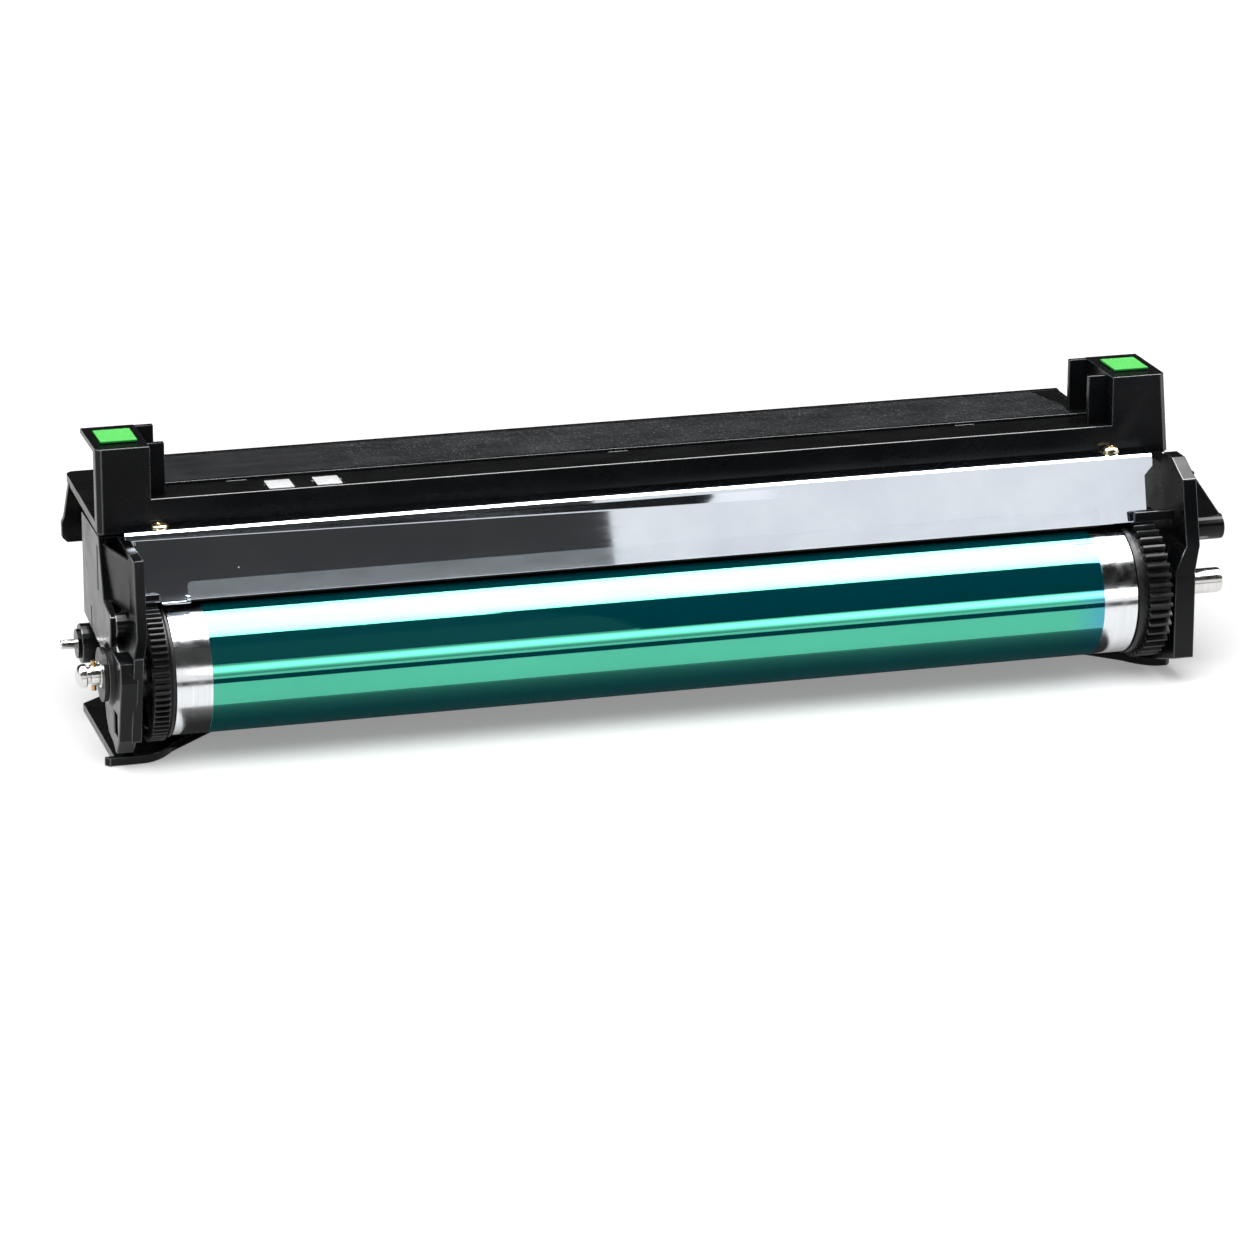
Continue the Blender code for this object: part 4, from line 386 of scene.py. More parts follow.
def natural_acetal():
    """Unpigmented acetal: milky, waxy, light passing a little way in."""
    made, tree, shader = finish("natural_acetal", "#E6E5DE", 0.36)
    shader.inputs["Subsurface Weight"].default_value = 0.15
    shader.inputs["Subsurface Scale"].default_value = 0.002
    patched(tree, shader, 4, "#DCDBD3", "#ECEBE6")
    varied_gloss(tree, shader, mottle(tree, 2), 0.32, 0.44)
    relief(tree, shader, mottle(tree, 0.8), 0.008)
    return made


def white_label_film():
    """Plain white reflective film for the sensors."""
    made, tree, shader = finish("sensor_white_film", "#F2F3F4", 0.4)
    patched(tree, shader, 1.5, "#E2E4E6", "#FBFBFB")
    relief(tree, shader, mottle(tree, 1), 0.01)
    return made


GEAR_BLACK = black_acetal()
COATING = photoconductor()
BARE_ALUMINIUM = turned_aluminium()
AXLE_STEEL = ground_steel()
ZINC = zinc_sheet()
SCREW_ZINC = screw_plating()
BRASS = brass()
FILM = clear_film()
FOAM = green_foam()
BLADE_RUBBER = rubber("blade_dark_urethane", "#1D1712", "#2A2119", 0.4)
ROLLER_RUBBER = rubber("roller_black_rubber", "#141414", "#1E1E1F")
FELT = felt()
ACETAL = natural_acetal()
SENSOR_FILM = white_label_film()


# Pieces


def settle(name, bm, finishes, body, nodes, smooth):
    """Makes the piece, shades it smooth between sharp edges, and sets it on its body in
    place of the CAD nodes it stands for."""
    mesh = bpy.data.meshes.new(name)
    bm.normal_update()
    bm.to_mesh(mesh)
    bm.free()
    for each in finishes:
        mesh.materials.append(each)
    mesh.shade_smooth()
    mesh.set_sharp_from_angle(angle=radians(smooth))
    made = bpy.data.objects.new(name, mesh)
    bpy.context.scene.collection.objects.link(made)
    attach(made, body)
    if nodes:
        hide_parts(*nodes)
    return made


def evaluated(bm, modifier_kind, **settings):
    """The mesh after one modifier, which is then gone."""
    mesh = bpy.data.meshes.new("working")
    bm.to_mesh(mesh)
    bm.free()
    holder = bpy.data.objects.new("working", mesh)
    bpy.context.scene.collection.objects.link(holder)
    modifier = holder.modifiers.new("work", modifier_kind)
    inputs = settings.pop("inputs", {})
    for setting, value in settings.items():
        setattr(modifier, setting, value)
    for identifier, value in inputs.items():
        modifier[identifier] = value
    bpy.context.view_layer.update()
    result = bpy.data.meshes.new_from_object(
        holder.evaluated_get(bpy.context.evaluated_depsgraph_get())
    )
    out = bmesh.new()
    out.from_mesh(result)
    bpy.data.objects.remove(holder, do_unlink=True)
    bpy.data.meshes.remove(mesh)
    bpy.data.meshes.remove(result)
    return out


def welded(node):
    """A closed copy of a CAD node's mesh."""
    bm = bmesh.new()
    bm.from_mesh(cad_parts[node].data)
    bmesh.ops.remove_doubles(bm, verts=bm.verts, dist=2e-6)
    bmesh.ops.dissolve_limit(
        bm, angle_limit=radians(0.5), verts=bm.verts, edges=bm.edges, delimit=set()
    )
    bmesh.ops.recalc_face_normals(bm, faces=bm.faces)
    return bm


def softened(bm, width, finish_of_edges=0):
    """Rounds the outward edges as a mould or a press leaves them; width in millimetres."""
    sharp = radians(28)
    edges = [
        edge
        for edge in bm.edges
        if len(edge.link_faces) == 2 and edge.is_convex and edge.calc_face_angle() > sharp
    ]
    bmesh.ops.bevel(
        bm,
        geom=edges,
        offset=width * MM,
        offset_type="OFFSET",
        segments=2,
        profile=0.5,
        affect="EDGES",
        clamp_overlap=False,
        material=finish_of_edges,
    )
    bmesh.ops.recalc_face_normals(bm, faces=bm.faces)
    return bm


def dressed(node, finishes, width):
    """The CAD node again, with its edges rounded. With two finishes the edges take the
    second one."""
    bm = softened(welded(node), width, len(finishes) - 1)
    return settle(f"{node}_moulded", bm, finishes, "housing", [node], 13)


def lathe(bm, profile, segments, centre=DRUM_AXIS, finish_of=None):
    """Adds a solid of revolution about an axis along X, from pairs of X and radius."""
    rings = []
    for x, radius in profile:
        count = segments if radius else 1
        turns = [2 * pi * i / count for i in range(count)]
        ring = [(x, radius * cos(turn), radius * sin(turn)) for turn in turns]
        rings.append([bm.verts.new(centre + Vector(corner) * MM) for corner in ring])
    pairs = list(zip(rings, rings[1:]))
    if profile[0][1]:
        pairs.append((rings[-1], rings[0]))
    for index, (first, second) in enumerate(pairs):
        for i in range(segments):
            j = (i + 1) % segments
            corners = [first[i % len(first)], second[i % len(second)]]
            if len(second) > 1:
                corners.append(second[j])
            if len(first) > 1:
                corners.append(first[j])
            face = bm.faces.new(corners)
            if finish_of:
                face.material_index = finish_of(index)
    bmesh.ops.recalc_face_normals(bm, faces=bm.faces)
    return bm


def block(bm, low, high, centre=DRUM_AXIS):
    """Adds a block between two corners given about a centre."""
    corners = [
        (x, y, z) for x in (low[0], high[0]) for y in (low[1], high[1]) for z in (low[2], high[2])
    ]
    verts = [bm.verts.new(centre + Vector(corner) * MM) for corner in corners]
    sides = ((0, 1, 3, 2), (4, 6, 7, 5), (0, 4, 5, 1), (2, 3, 7, 6), (0, 2, 6, 4), (1, 5, 7, 3))
    for side in sides:
        bm.faces.new([verts[i] for i in side])
    bmesh.ops.recalc_face_normals(bm, faces=bm.faces)
    return bm


# Drum


def drum_tube():
    """The tube with its coating as a thin skin, and bare turned ends."""
    skin = 0.03
    chamfer = 0.25
    inner_chamfer = 0.2
    inner = DRUM_RADIUS - TUBE_WALL
    bare = DRUM_RADIUS - skin
    profile = [
        (-DRUM_HALF, inner + inner_chamfer),
        (-DRUM_HALF, bare - chamfer),
        (-DRUM_HALF + chamfer, bare),
        (-COAT_HALF - skin, bare),
        (-COAT_HALF, DRUM_RADIUS),
    ]
    profile += [(-x, radius) for x, radius in reversed(profile)]
    profile += [(DRUM_HALF - inner_chamfer, inner), (inner_chamfer - DRUM_HALF, inner)]
    coated = (3, 4, 5)
    bm = lathe(bmesh.new(), profile, 256, finish_of=lambda i: 0 if i in coated else 1)
    finishes = [COATING, BARE_ALUMINIUM]
    nodes = ["drum_tube"]
    return settle("photoconductor_tube", bm, finishes, "drum", nodes, 25)


def axle():
    """The steel axle: rounded nose with a clip groove on the left, plain end right."""
    shaft = 3.0
    neck = 2.4
    head = 2.7
    groove = 1.9
    nose_x = -133.6
    groove_x = nose_x + 2.2
    neck_x = groove_x + 0.7
    step_x = -128.4
    end_x = 139.9
    profile = [
        (nose_x, 0),
        (nose_x, head - 1.2),
        (nose_x + 0.12, head - 0.8),
        (nose_x + 0.5, head - 0.3),
        (nose_x + 1.0, head - 0.05),
        (nose_x + 1.3, head),
        (groove_x - 0.25, head),
        (groove_x, head - 0.2),
        (groove_x, groove),
        (neck_x, groove),
        (neck_x, neck - 0.15),
        (neck_x + 0.15, neck),
        (step_x, neck),
        (step_x, shaft - 0.1),
        (step_x + 0.1, shaft),
        (end_x - 0.8, shaft),
        (end_x - 0.3, shaft - 0.15),
        (end_x, shaft - 0.6),
        (end_x, 1.0),
        (end_x - 0.3, 0),
    ]
    bm = lathe(bmesh.new(), profile, 96)
    return settle("polished_axle", bm, [AXLE_STEEL], "drum", ["drum_axle"], 32)


# Gears


def root_radius(teeth, module):
    return (teeth / 2 - DEDENDUM) * module


def flank(teeth, module):
    """Half of a tooth's outline as pairs of radius and angle from its middle: a root that
    widens into the body, an involute flank, and the tip."""
    pitch = teeth * module / 2
    base = pitch * cos(PRESSURE_ANGLE)
    tip = pitch + module * ADDENDUM
    root = root_radius(teeth, module)
    at_pitch = sqrt((pitch / base) ** 2 - 1) - acos(base / pitch)
    half = pi / teeth / 2 * TOOTH_SHARE
    points = [(root - module * 0.4, half * 1.6), (root, half * 1.4)]
    start = max(base, root + module * 0.25)
    steps = 6
    for i in range(steps + 1):
        radius = start + (tip - start) * i / steps
        opened = sqrt(max((radius / base) ** 2 - 1, 0)) - acos(min(base / radius, 1))
        points.append((radius, half + at_pitch - opened))
    return points


def tooth(teeth, module, start, end):
    """One tooth, pushed along X and rounded at both faces."""
    bm = bmesh.new()
    half = flank(teeth, module)
    root = half[1][0]
    outline = half + [(radius, -angle) for radius, angle in reversed(half)]
    inset = module * 0.16
    rings = []
    for x, shrink in ((start, inset), (start + inset, 0), (end - inset, 0), (end, inset)):
        ring = []
        for radius, angle in outline:
            rounding = shrink if radius > root else 0
            near = (radius - rounding) * MM
            side = angle * (1 - rounding / (module * 1.6))
            ring.append(bm.verts.new((x * MM, near * cos(side), near * sin(side))))
        rings.append(ring)
    for first, second in zip(rings, rings[1:]):
        for i in range(len(outline)):
            j = (i + 1) % len(outline)
            bm.faces.new((first[i], first[j], second[j], second[i]))
    bm.faces.new(rings[0])
    bm.faces.new(rings[-1])
    bmesh.ops.recalc_face_normals(bm, faces=bm.faces)
    return bm


def geometry_tree(name, kinds):
    """A geometry node tree, with its named inputs and what they hand in."""
    tree = bpy.data.node_groups.new(name, "GeometryNodeTree")
    sockets = {}
    for title, kind in kinds.items():
        kind = f"NodeSocket{kind}"
        made = tree.interface.new_socket(title, in_out="INPUT", socket_type=kind)
        sockets[title] = made.identifier
    tree.interface.new_socket("Geometry", in_out="OUTPUT", socket_type="NodeSocketGeometry")
    return tree, sockets, add(tree, "NodeGroupInput").outputs


def end_tree(tree, copies, made_of):
    """Makes the copies real and gives them their finish."""
    solid = add(tree, "GeometryNodeRealizeInstances", {"Geometry": copies}).outputs[0]
    values = {"Geometry": solid, "Material": made_of}
    painted = add(tree, "GeometryNodeSetMaterial", values).outputs[0]
    add(tree, "NodeGroupOutput", {"Geometry": painted})


def ring_tree():
    """Geometry nodes that repeat a mesh round an axis along X, then move it there."""
    kinds = {
        "Geometry": "Geometry",
        "Count": "Int",
        "Phase": "Float",
        "Axis": "Vector",
        "Finish": "Material",
    }
    tree, sockets, given = geometry_tree("repeat_round_axis", kinds)
    points = add(tree, "GeometryNodePoints", {"Count": given["Count"]}).outputs[0]
    index = add(tree, "GeometryNodeInputIndex").outputs[0]
    share = times(tree, index, given["Count"], "DIVIDE")
    values = {0: share, 1: 2 * pi, 2: given["Phase"]}
    turn = add(tree, "ShaderNodeMath", values, operation="MULTIPLY_ADD").outputs[0]
    spin = add(tree, "ShaderNodeCombineXYZ", {"X": turn}).outputs[0]
    values = {"Points": points, "Instance": given["Geometry"], "Rotation": spin}
    copies = add(tree, "GeometryNodeInstanceOnPoints", values).outputs[0]
    values = {"Geometry": copies, "Translation": given["Axis"]}
    moved = add(tree, "GeometryNodeTransform", values).outputs[0]
    end_tree(tree, moved, given["Finish"])
    return tree, sockets


RING_TREE, RING_SOCKETS = ring_tree()


def repeated(bm, count, phase, axis, made_of):
    """The mesh repeated round an axis by the geometry nodes."""
    values = {"Count": count, "Phase": phase, "Axis": tuple(axis), "Finish": made_of}
    inputs = {RING_SOCKETS[name]: value for name, value in values.items()}
    return evaluated(bm, "NODES", node_group=RING_TREE, inputs=inputs)


def join(bm, other):
    """Adds another mesh to the first."""
    mesh = bpy.data.meshes.new("joining")
    other.to_mesh(mesh)
    other.free()
    bm.from_mesh(mesh)
    bpy.data.meshes.remove(mesh)
    return bm


def drum_gear(name, side, teeth, module, collar, width, phase):
    """A drum flange: spigot inside the tube, polished collar, and a gear whose outer face
    is hollowed between ribs."""
    fit = 0.1
    chamfer = 0.1
    round_over = 0.15
    bore = 3.1
    rim = DRUM_RADIUS + 0.3
    hub = 6.2
    pocket = 1.8
    rib = 0.55
    rib_count = 6
    start = DRUM_HALF - 8
    face = DRUM_HALF + fit
    collar_end = face + collar / 2
    gear_start = DRUM_HALF + collar
    gear_end = gear_start + width
    root = root_radius(teeth, module)
    spigot = DRUM_RADIUS - TUBE_WALL - fit
    profile = [
        (start, bore),
        (start, spigot - 0.5),
        (start + 0.5, spigot),
        (face, spigot),
        (face, rim - chamfer),
        (face + 0.12, rim),
        (collar_end - 0.12, rim),
        (collar_end, rim - chamfer),
        (collar_end, root - 0.3),
        (gear_start - chamfer, root - 0.3),
        (gear_start, root - chamfer),
        (gear_start + chamfer, root),
        (gear_end - chamfer, root),
        (gear_end, root - chamfer),
        (gear_end, root - 2),
        (gear_end - round_over, root - 2 - round_over),
        (gear_end - pocket, root - 2.25),
        (gear_end - pocket, hub + 0.1),
        (gear_end - round_over, hub),
        (gear_end, hub - round_over),
        (gear_end, bore + 0.2),
        (gear_end - 0.2, bore),
    ]
    bm = lathe(bmesh.new(), [(side * x, radius) for x, radius in profile], 132)
    low, high = sorted((side * gear_start, side * gear_end))
    join(bm, repeated(tooth(teeth, module, low, high), teeth, phase, DRUM_AXIS, GEAR_BLACK))
    low, high = sorted((side * (gear_end - 2), side * (gear_end - 0.2)))
    bar = block(bmesh.new(), (low, hub - 0.1, -rib), (high, root - 1.9, rib), Vector())
    join(bm, repeated(bar, rib_count, 0, DRUM_AXIS, GEAR_BLACK))
    node = f"{name}_gear_flange"
    settle(f"{name}_drum_gear", bm, [GEAR_BLACK], "drum", [node], 30)


def train_gear(node, body, teeth, centre, phase, bore):
    """A small acetal gear of the waste drive, with a shallow ring sunk in one face."""
    chamfer = 0.15
    sunk = 0.4
    low, high = (corner[0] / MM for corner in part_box(node))
    one = tooth(teeth, FINE_MODULE, low, high)
    bm = join(bmesh.new(), repeated(one, teeth, phase, centre, ACETAL))
    root = root_radius(teeth, FINE_MODULE)
    profile = [
        (low, bore + chamfer),
        (low, root - 1.0),
        (low + sunk, root - 1.1),
        (low + sunk, root - 0.6),
        (low, root - 0.5),
        (low, root),
        (high, root),
        (high, bore + chamfer),
        (high - chamfer, bore),
        (low + chamfer, bore),
    ]
    join(bm, lathe(bmesh.new(), profile, 64, centre))
    settle(f"{node}_cut", bm, [ACETAL], body, [node], 30)


def waste_train():
    """The left gear's phase, and the axis and phase of the idler and of the auger's gear.
    The idler's axis lies where it touches both of the others, and each tooth stands in a
    gap where two gears meet."""
    auger_y = sqrt(AUGER_DISTANCE**2 - AUGER_Z**2)
    near = (LEFT_TEETH + IDLER_TEETH) * FINE_MODULE / 2
    far = (IDLER_TEETH + AUGER_TEETH) * FINE_MODULE / 2
    between = (near**2 + AUGER_DISTANCE**2 - far**2) / (2 * near * AUGER_DISTANCE)
    to_idler = atan2(AUGER_Z, auger_y) + acos(between)
    idler = (near * cos(to_idler), near * sin(to_idler))
    to_auger = atan2(AUGER_Z - idler[1], auger_y - idler[0])
    idler_phase = to_idler + pi + pi / IDLER_TEETH
    lead = (idler_phase - to_auger) * IDLER_TEETH / AUGER_TEETH
    auger_phase = to_auger + pi - lead + pi / AUGER_TEETH
    axes = (place(0, *idler), place(0, auger_y, AUGER_Z))
    return to_idler, (axes[0], idler_phase), (axes[1], auger_phase)


# Screws


def slotted(bm, turn, depth):
    """Cuts one slot of the cross into the head, down to a depth in millimetres."""
    mouth = 0.95
    waist = 0.45
    half = 0.2
    above = HEAD_HEIGHT + 0.2
    outline = [(-above, mouth), (-above, -mouth), (-0.7, -waist), (depth, 0), (-0.7, waist)]
    cutter = bmesh.new()
    rings = []
    for side in (-half, half):
        ring = []
        for x, across in outline:
            y = across * cos(turn) - side * sin(turn)
            z = across * sin(turn) + side * cos(turn)
            ring.append(cutter.verts.new((x * MM, y * MM, z * MM)))
        rings.append(ring)
    first, second = rings
    for i in range(len(outline)):
        j = (i + 1) % len(outline)
        cutter.faces.new((first[i], first[j], second[j], second[i]))
    cutter.faces.new(first)
    cutter.faces.new(second)
    bmesh.ops.recalc_face_normals(cutter, faces=cutter.faces)
    mesh = bpy.data.meshes.new("recess")
    cutter.to_mesh(mesh)
    cutter.free()
    tool = bpy.data.objects.new("recess", mesh)
    bpy.context.scene.collection.objects.link(tool)
    out = evaluated(bm, "BOOLEAN", object=tool, operation="DIFFERENCE", solver="EXACT")
    bpy.data.objects.remove(tool, do_unlink=True)
    return out


def screw_head():
    """One pan-head screw with a cross recess. The head's underside is at the origin and
    the head points to -X. The slots differ in depth, so their floors never coincide."""
    crown = 0.75
    brim = 0.25
    steps = 6
    profile = [(-HEAD_HEIGHT, 0), (-HEAD_HEIGHT, crown)]
    for i in range(1, steps + 1):
        angle = radians(90 * i / steps)
        x = -brim - (HEAD_HEIGHT - brim) * cos(angle)
        profile.append((x, crown + (HEAD_RADIUS - crown) * sin(angle)))
    profile += [(0, HEAD_RADIUS), (0, SHANK_RADIUS)]
    profile += [(SCREW_LENGTH - 0.9, SHANK_RADIUS), (SCREW_LENGTH, 0.3), (SCREW_LENGTH, 0)]
    bm = lathe(bmesh.new(), profile, 32, Vector())
    return slotted(slotted(bm, 0, -0.45), pi / 2, -0.52)


def seat_tree():
    """Geometry nodes that set a screw on each seat, turned and scaled as the seat says."""
    kinds = {"Geometry": "Geometry", "Screw": "Object", "Finish": "Material"}
    tree, sockets, given = geometry_tree("screws_on_seats", kinds)
    part = add(tree, "GeometryNodeObjectInfo", {"Object": given["Screw"]}).outputs["Geometry"]
    turn, size = (
        add(tree, "GeometryNodeInputNamedAttribute", {"Name": name}, data_type="FLOAT_VECTOR")
        for name in ("turn", "size")
    )
    values = {
        "Points": given["Geometry"],
        "Instance": part,
        "Rotation": turn.outputs[0],
        "Scale": size.outputs[0],
    }
    copies = add(tree, "GeometryNodeInstanceOnPoints", values).outputs[0]
    end_tree(tree, copies, given["Finish"])
    return tree, sockets


def screw_seats():
    """Each screw's node with its seat, its turn and its size. The left bracket screw is
    sunk, so its head is flatter."""
    seats = []
    for side, flat, spin in (("left", 0.45, 25), ("right", 1.0, 48)):
        node = f"blade_screw_{side}"
        low, high = (Vector(corner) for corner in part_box(node))
        middle = (low + high) / 2
        seat = (middle.x, middle.y, high.z - HEAD_HEIGHT * MM)
        seats.append((node, seat, (0, pi / 2, radians(spin)), (flat, 1, 1)))
    for side, sign in (("left", -1), ("right", 1)):
        for level, spin in (("upper", 40), ("lower", 8)):
            node = f"plate_screw_{side}_{level}"
            low, high = (Vector(corner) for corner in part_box(node))
            middle = (low + high) / 2
            outer = low.x if sign < 0 else high.x
            seat = (outer - sign * HEAD_HEIGHT * MM, middle.y, middle.z)
            turn = (radians(spin), 0, 0 if sign < 0 else pi)
            seats.append((node, seat, turn, (1, 1, 1)))
    return seats


def screws():
    """All six screws, on the seats that the CAD gives them."""
    screw_bm = screw_head()
    mesh = bpy.data.meshes.new("screw")
    screw_bm.to_mesh(mesh)
    screw_bm.free()
    template = bpy.data.objects.new("screw", mesh)
    bpy.context.scene.collection.objects.link(template)
    tree, sockets = seat_tree()
    seat_mesh = bmesh.new()
    turns = seat_mesh.verts.layers.float_vector.new("turn")
    sizes = seat_mesh.verts.layers.float_vector.new("size")
    nodes = []
    for node, where, turn, size in screw_seats():
        seat = seat_mesh.verts.new(where)
        seat[turns] = Vector(turn)
        seat[sizes] = Vector(size)
        nodes.append(node)
    inputs = {sockets["Screw"]: template, sockets["Finish"]: SCREW_ZINC}
    bm = evaluated(seat_mesh, "NODES", node_group=tree, inputs=inputs)
    bpy.data.objects.remove(template, do_unlink=True)
    settle("cross_recess_screws", bm, [SCREW_ZINC], "housing", nodes, 32)


# Pads


def soft_block(name, node, made_of, width):
    """A small block with its edges rounded over."""
    bm = softened(welded(node), width)
    settle(name, bm, [made_of], "housing", [node], 40)


def sensor_films():
    """Two white films, stuck on the deck over their shallow seats and reaching further
    back than the seats do."""
    front, back = 9.7, 16.0
    under, top = 37.1, 37.45
    nodes = ["sensor_pad_1", "sensor_pad_2"]
    bm = bmesh.new()
    for node in nodes:
        start, end = (corner[0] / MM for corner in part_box(node))
        block(bm, (start, front, under), (end, back, top))
    bm = softened(bm, 0.12)
    settle("sensor_white_films", bm, [SENSOR_FILM], "housing", nodes, 40)


def bent_tab():
    """The bracket's lower left corner, folded out into a short rounded lip."""
    front = -4.3
    end = -107.9
    fold = 16.9
    bm = bmesh.new()
    block(bm, (-114.6, front, fold - 0.7), (end, front + 1.1, fold))
    block(bm, (end - 1, front, fold), (end, front + 0.8, fold + 1.1))
    bm = softened(bm, 0.3)
    settle("bracket_bent_tab", bm, [ZINC], "housing", [], 40)


def gear_shrouds():
    """Short bars from the end plates over the gears' inner edges, in front of the
    bracket's lower corners."""
    right_bar = ((116.0, -5.2, 17.3), (126.2, -4.0, 19.7))
    left_bar = ((-120.8, -4.7, 17.6), (-115.0, -3.7, 19.1))
    bm = bmesh.new()
    block(bm, *right_bar)
    block(bm, *left_bar)
    bm = softened(bm, 0.25, 1)
    finishes = [PLATE_BLACK, EDGE_BLACK]
    settle("gear_shroud_bars", bm, finishes, "housing", [], 13)


def carry_over():
    """Gives a finish to each CAD node whose own shape is right."""
    for made_of, nodes in (
        (PLATE_BLACK, ["auger_bush"]),
        (BRASS, ["axle_cross_pin"]),
        (GEAR_BLACK, ["left_bush", "right_bush"]),
        (BLADE_RUBBER, ["cleaning_blade"]),
        (FILM, ["blade_film", "lip_film"]),
        (FELT, ["felt_seal_left", "felt_seal_right"]),
        (AXLE_STEEL, ["charge_core", "charge_spring_left", "charge_spring_right"]),
        (AXLE_STEEL, ["auger_shaft"]),
        (ROLLER_RUBBER, ["charge_sleeve"]),
        (ACETAL, ["charge_bearing_left", "charge_bearing_right", "auger_screw"]),
    ):
        for node in nodes:
            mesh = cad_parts[node].data
            for index in range(len(mesh.materials)):
                mesh.materials[index] = made_of
            if not mesh.materials:
                mesh.materials.append(made_of)


tube = drum_tube()
steel_axle = axle()
left_phase, idler_place, auger_place = waste_train()
drum_gear("left", -1, LEFT_TEETH, FINE_MODULE, collar=1.3, width=3.6, phase=left_phase)
drum_gear("right", 1, RIGHT_TEETH, COARSE_MODULE, collar=2.5, width=5.5, phase=0.0)
for node, black, edge_width in (
    ("main_frame", HOUSING_BLACK, 0.22),
    ("top_lid", LID_BLACK, 0.2),
    ("left_end_plate", PLATE_BLACK, 0.25),
    ("right_end_plate", PLATE_BLACK, 0.25),
):
    dressed(node, [black, EDGE_BLACK], edge_width)
bracket = dressed("blade_bracket", [ZINC], 0.12)
for side in ("left", "right"):
    soft_block(f"{side}_green_foam_pad", f"green_pad_{side}", FOAM, 0.18)
train_gear("idler_gear", "idler", IDLER_TEETH, *idler_place, bore=1.4)
train_gear("auger_gear", "auger", AUGER_TEETH, *auger_place, bore=2.0)
sensor_films()
bent_tab()
gear_shrouds()
screws()
carry_over()


# Camera, floor and light

CAMERA_PLACE = (-0.32116, -1.14484, 0.39154)
CAMERA_YAW = 15.789
CAMERA_PITCH = 17.723
CAMERA_ROLL = 0.049
LENS = 152.138


def camera():
    data = bpy.data.cameras.new("camera")
    data.lens = LENS
    data.sensor_width = 36
    data.clip_start = 0.01
    made = bpy.data.objects.new("camera", data)
    turn = Matrix.Rotation(radians(-CAMERA_YAW), 4, "Z")
    turn @= Matrix.Rotation(radians(90 - CAMERA_PITCH), 4, "X")
    turn @= Matrix.Rotation(radians(CAMERA_ROLL), 4, "Z")
    made.matrix_world = Matrix.Translation(CAMERA_PLACE) @ turn
    bpy.context.scene.collection.objects.link(made)
    bpy.context.scene.camera = made


def staged_grid(name, half, made_of):
    """A flat rectangle for the stage, half its sizes in metres."""
    bm = bmesh.new()
    bmesh.ops.create_grid(bm, x_segments=1, y_segments=1, size=1)
    bmesh.ops.scale(bm, vec=(*half, 1), verts=bm.verts)
    mesh = bpy.data.meshes.new(name)
    bm.to_mesh(mesh)
    bm.free()
    mesh.materials.append(made_of)
    item = bpy.data.objects.new(name, mesh)
    bpy.context.scene.collection.objects.link(item)
    return item


def seen_as_background(tree):
    """1 for rays that the camera, a gloss or clear stuff sends, and 0 for lighting ones."""
    path = add(tree, "ShaderNodeLightPath").outputs
    first = times(tree, path["Is Camera Ray"], path["Is Glossy Ray"], "MAXIMUM")
    return times(tree, first, path["Is Transmission Ray"], "MAXIMUM")


def white_floor():
    """Pale floor that the camera sees as white outside the object's shadow."""
    lift = 0.28
    made = bpy.data.materials.new("white_floor")
    made.use_nodes = True
    tree = made.node_tree
    shader = tree.nodes["Principled BSDF"]
    shader.inputs["Base Color"].default_value = (0.86, 0.86, 0.865, 1)
    shader.inputs["Roughness"].default_value = 0.9
    shader.inputs["Specular IOR Level"].default_value = 0.0
    shader.inputs["Emission Color"].default_value = (1, 1, 1, 1)
    strength = times(tree, seen_as_background(tree), lift)
    set_link(tree, shader, "Emission Strength", strength)
    floor = staged_grid("floor", (6, 6), made)
    floor.location.z = -0.0001


def studio_air():
    """The air is white to look at, and lights the object as a dim grey room does."""
    world = bpy.data.worlds.new("studio")
    world.use_nodes = True
    tree = world.node_tree
    values = {0: seen_as_background(tree), 6: (0.28, 0.28, 0.283, 1), 7: (1, 1, 1, 1)}
    colour = add(tree, "ShaderNodeMix", values, data_type="RGBA").outputs[2]
    tree.links.new(colour, tree.nodes["Background"].inputs["Color"])
    bpy.context.scene.world = world


def overhead_light():
    """One broad soft light, from above and a little to the left."""
    data = bpy.data.lights.new("overhead", "SUN")
    data.energy = 2.65
    data.angle = radians(54)
    made = bpy.data.objects.new("overhead", data)
    made.rotation_euler = Vector((-0.2, -0.46, 1)).to_track_quat("Z", "Y").to_euler()
    made.visible_glossy = False
    bpy.context.scene.collection.objects.link(made)


def card(name, centre, half, tilt, brightness, bands=(), sweep=None):
    """A grey card that only gloss sees, as a studio reflector or flag: half its sizes in
    metres, tilted about X in degrees. Each band is a stretch of the card's height, as
    two places in metres and what the brightness is multiplied by at each. A sweep is the
    place in metres where the brightness starts to change, and its multiplier at the right
    end."""
    made = bpy.data.materials.new(name)
    made.use_nodes = True
    tree = made.node_tree
    tree.nodes.remove(tree.nodes["Principled BSDF"])
    strength = brightness
    if bands:
        height = along(tree, "Y")
        for start, end, low, high in bands:
            strength = times(tree, ramp(tree, height, start, end, low, high), strength)
    if sweep:
        start, end = sweep
        strength = times(tree, ramp(tree, along(tree, "X"), start, half[0], 1.0, end), strength)
    light = add(tree, "ShaderNodeEmission", {"Color": (1, 1, 1, 1), "Strength": strength})
    tree.links.new(light.outputs[0], tree.nodes["Material Output"].inputs["Surface"])
    item = staged_grid(name, half, made)
    item.location = centre
    item.rotation_euler = (radians(tilt), 0, 0)
    for ray in ("camera", "diffuse", "shadow", "transmission", "volume_scatter"):
        setattr(item, f"visible_{ray}", False)
    return item


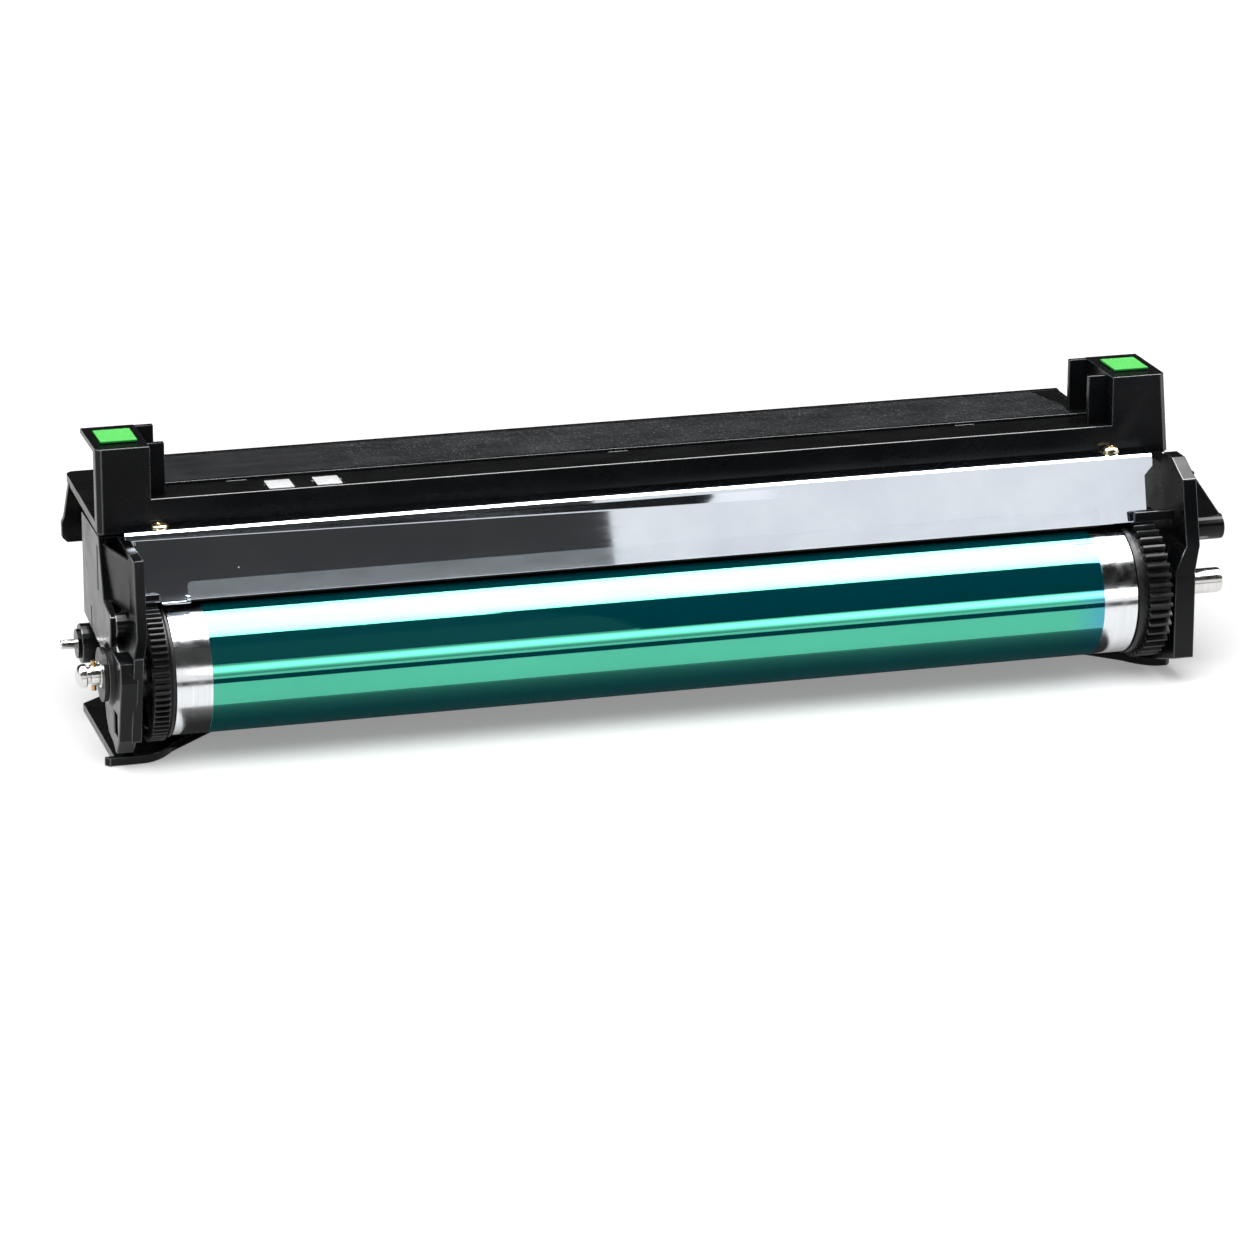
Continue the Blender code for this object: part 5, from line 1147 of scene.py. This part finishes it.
def sector_card(name, start, end, distance, brightness, bands=()):
    """A long card that fills the angles from start to end as the drum sees them."""
    middle = (start + end) / 2
    half = distance * tan(radians((end - start) / 2))
    away = Vector((0, -cos(radians(middle)), sin(radians(middle)))) * distance
    card(name, place(250, 0, 0) + away, (2.2, half), 90 - middle, brightness, bands)


def sized_card(name, across, along_card, centre, tilt, brightness, bands=(), sweep=None):
    """A card with its two stretches in millimetres, and its bands as places on the
    second."""
    middle = sum(along_card) / 2
    half = tuple((high - low) / 2 * MM for low, high in (across, along_card))
    bands = [((a - middle) * MM, (b - middle) * MM, c, d) for a, b, c, d in bands]
    return card(name, Vector(centre) * MM, half, tilt, brightness, bands, sweep)


def upright_card(name, across, up, y, brightness, bands=(), sweep=None):
    """A card that stands facing the drum."""
    centre = (sum(across) / 2, y, sum(up) / 2)
    return sized_card(name, across, up, centre, 90, brightness, bands, sweep)


def flat_card(name, across, back, brightness, bands=()):
    """A card that lies on the floor."""
    centre = (sum(across) / 2, sum(back) / 2, 0.3)
    sized_card(name, across, back, centre, 0, brightness, bands)


def shine_on(name, item, pieces):
    """Lets a card light these pieces alone, as a flag beside it would."""
    lit = bpy.data.collections.new(name)
    for piece in pieces:
        lit.objects.link(piece)
    item.light_linking.receiver_collection = lit


camera()
white_floor()
studio_air()
overhead_light()

# The reflector overhead makes the drum's broad white band, between two dark flags.
sector_card("overhead_reflector", 67, 117, 1.0, 12, [(-0.49, -0.2, 0.55, 1.0)])
sector_card("front_upper_flag", 20, 67, 0.9, 0.02)
sector_card("back_flag", 117, 178, 0.9, 0.03)

# The low reflector stands close in front. The drum sees its lower half, with a bright
# line for the drum's thin pale band. The bracket stands higher and sees what is above it:
# a dark flag on the left, and a white reflector on the right.
NEAR_Y = -129.5
GLOW = [(19, 25, 0.6, 1.0), (25, 35, 0.75, 3.6), (41, 50, 1.0, 0.2)]
low_card = upright_card("near_reflector", (-92, 152), (19, 53), NEAR_Y, 1.0, GLOW, (0, 1.8))
upright_card("near_left_flag", (-170, 17), (52, 130), NEAR_Y - 0.5, 0.05)
right_card = upright_card("near_right_reflector", (17, 190), (50, 260), NEAR_Y + 1, 1.0)
shine_on("bracket_only", right_card, [bracket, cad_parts["blade_film"]])
shine_on("bright_metal_only", low_card, [bracket, tube, steel_axle])

# Dark cards on the floor: the far one draws the drum's dark line, and the near one shades
# its underside.
SHADE = [(-54.5, -51.5, 2.6, 1.0), (-51, -45, 2.4, 1.0), (-45, -40, 1.0, 0.4)]
flat_card("dark_line_far", (-300, 300), (-240, -122), 0.01)
flat_card("drum_shade", (-110, 112), (-54.5, -14), 0.07, SHADE)

bpy.context.scene.view_settings.view_transform = "Standard"
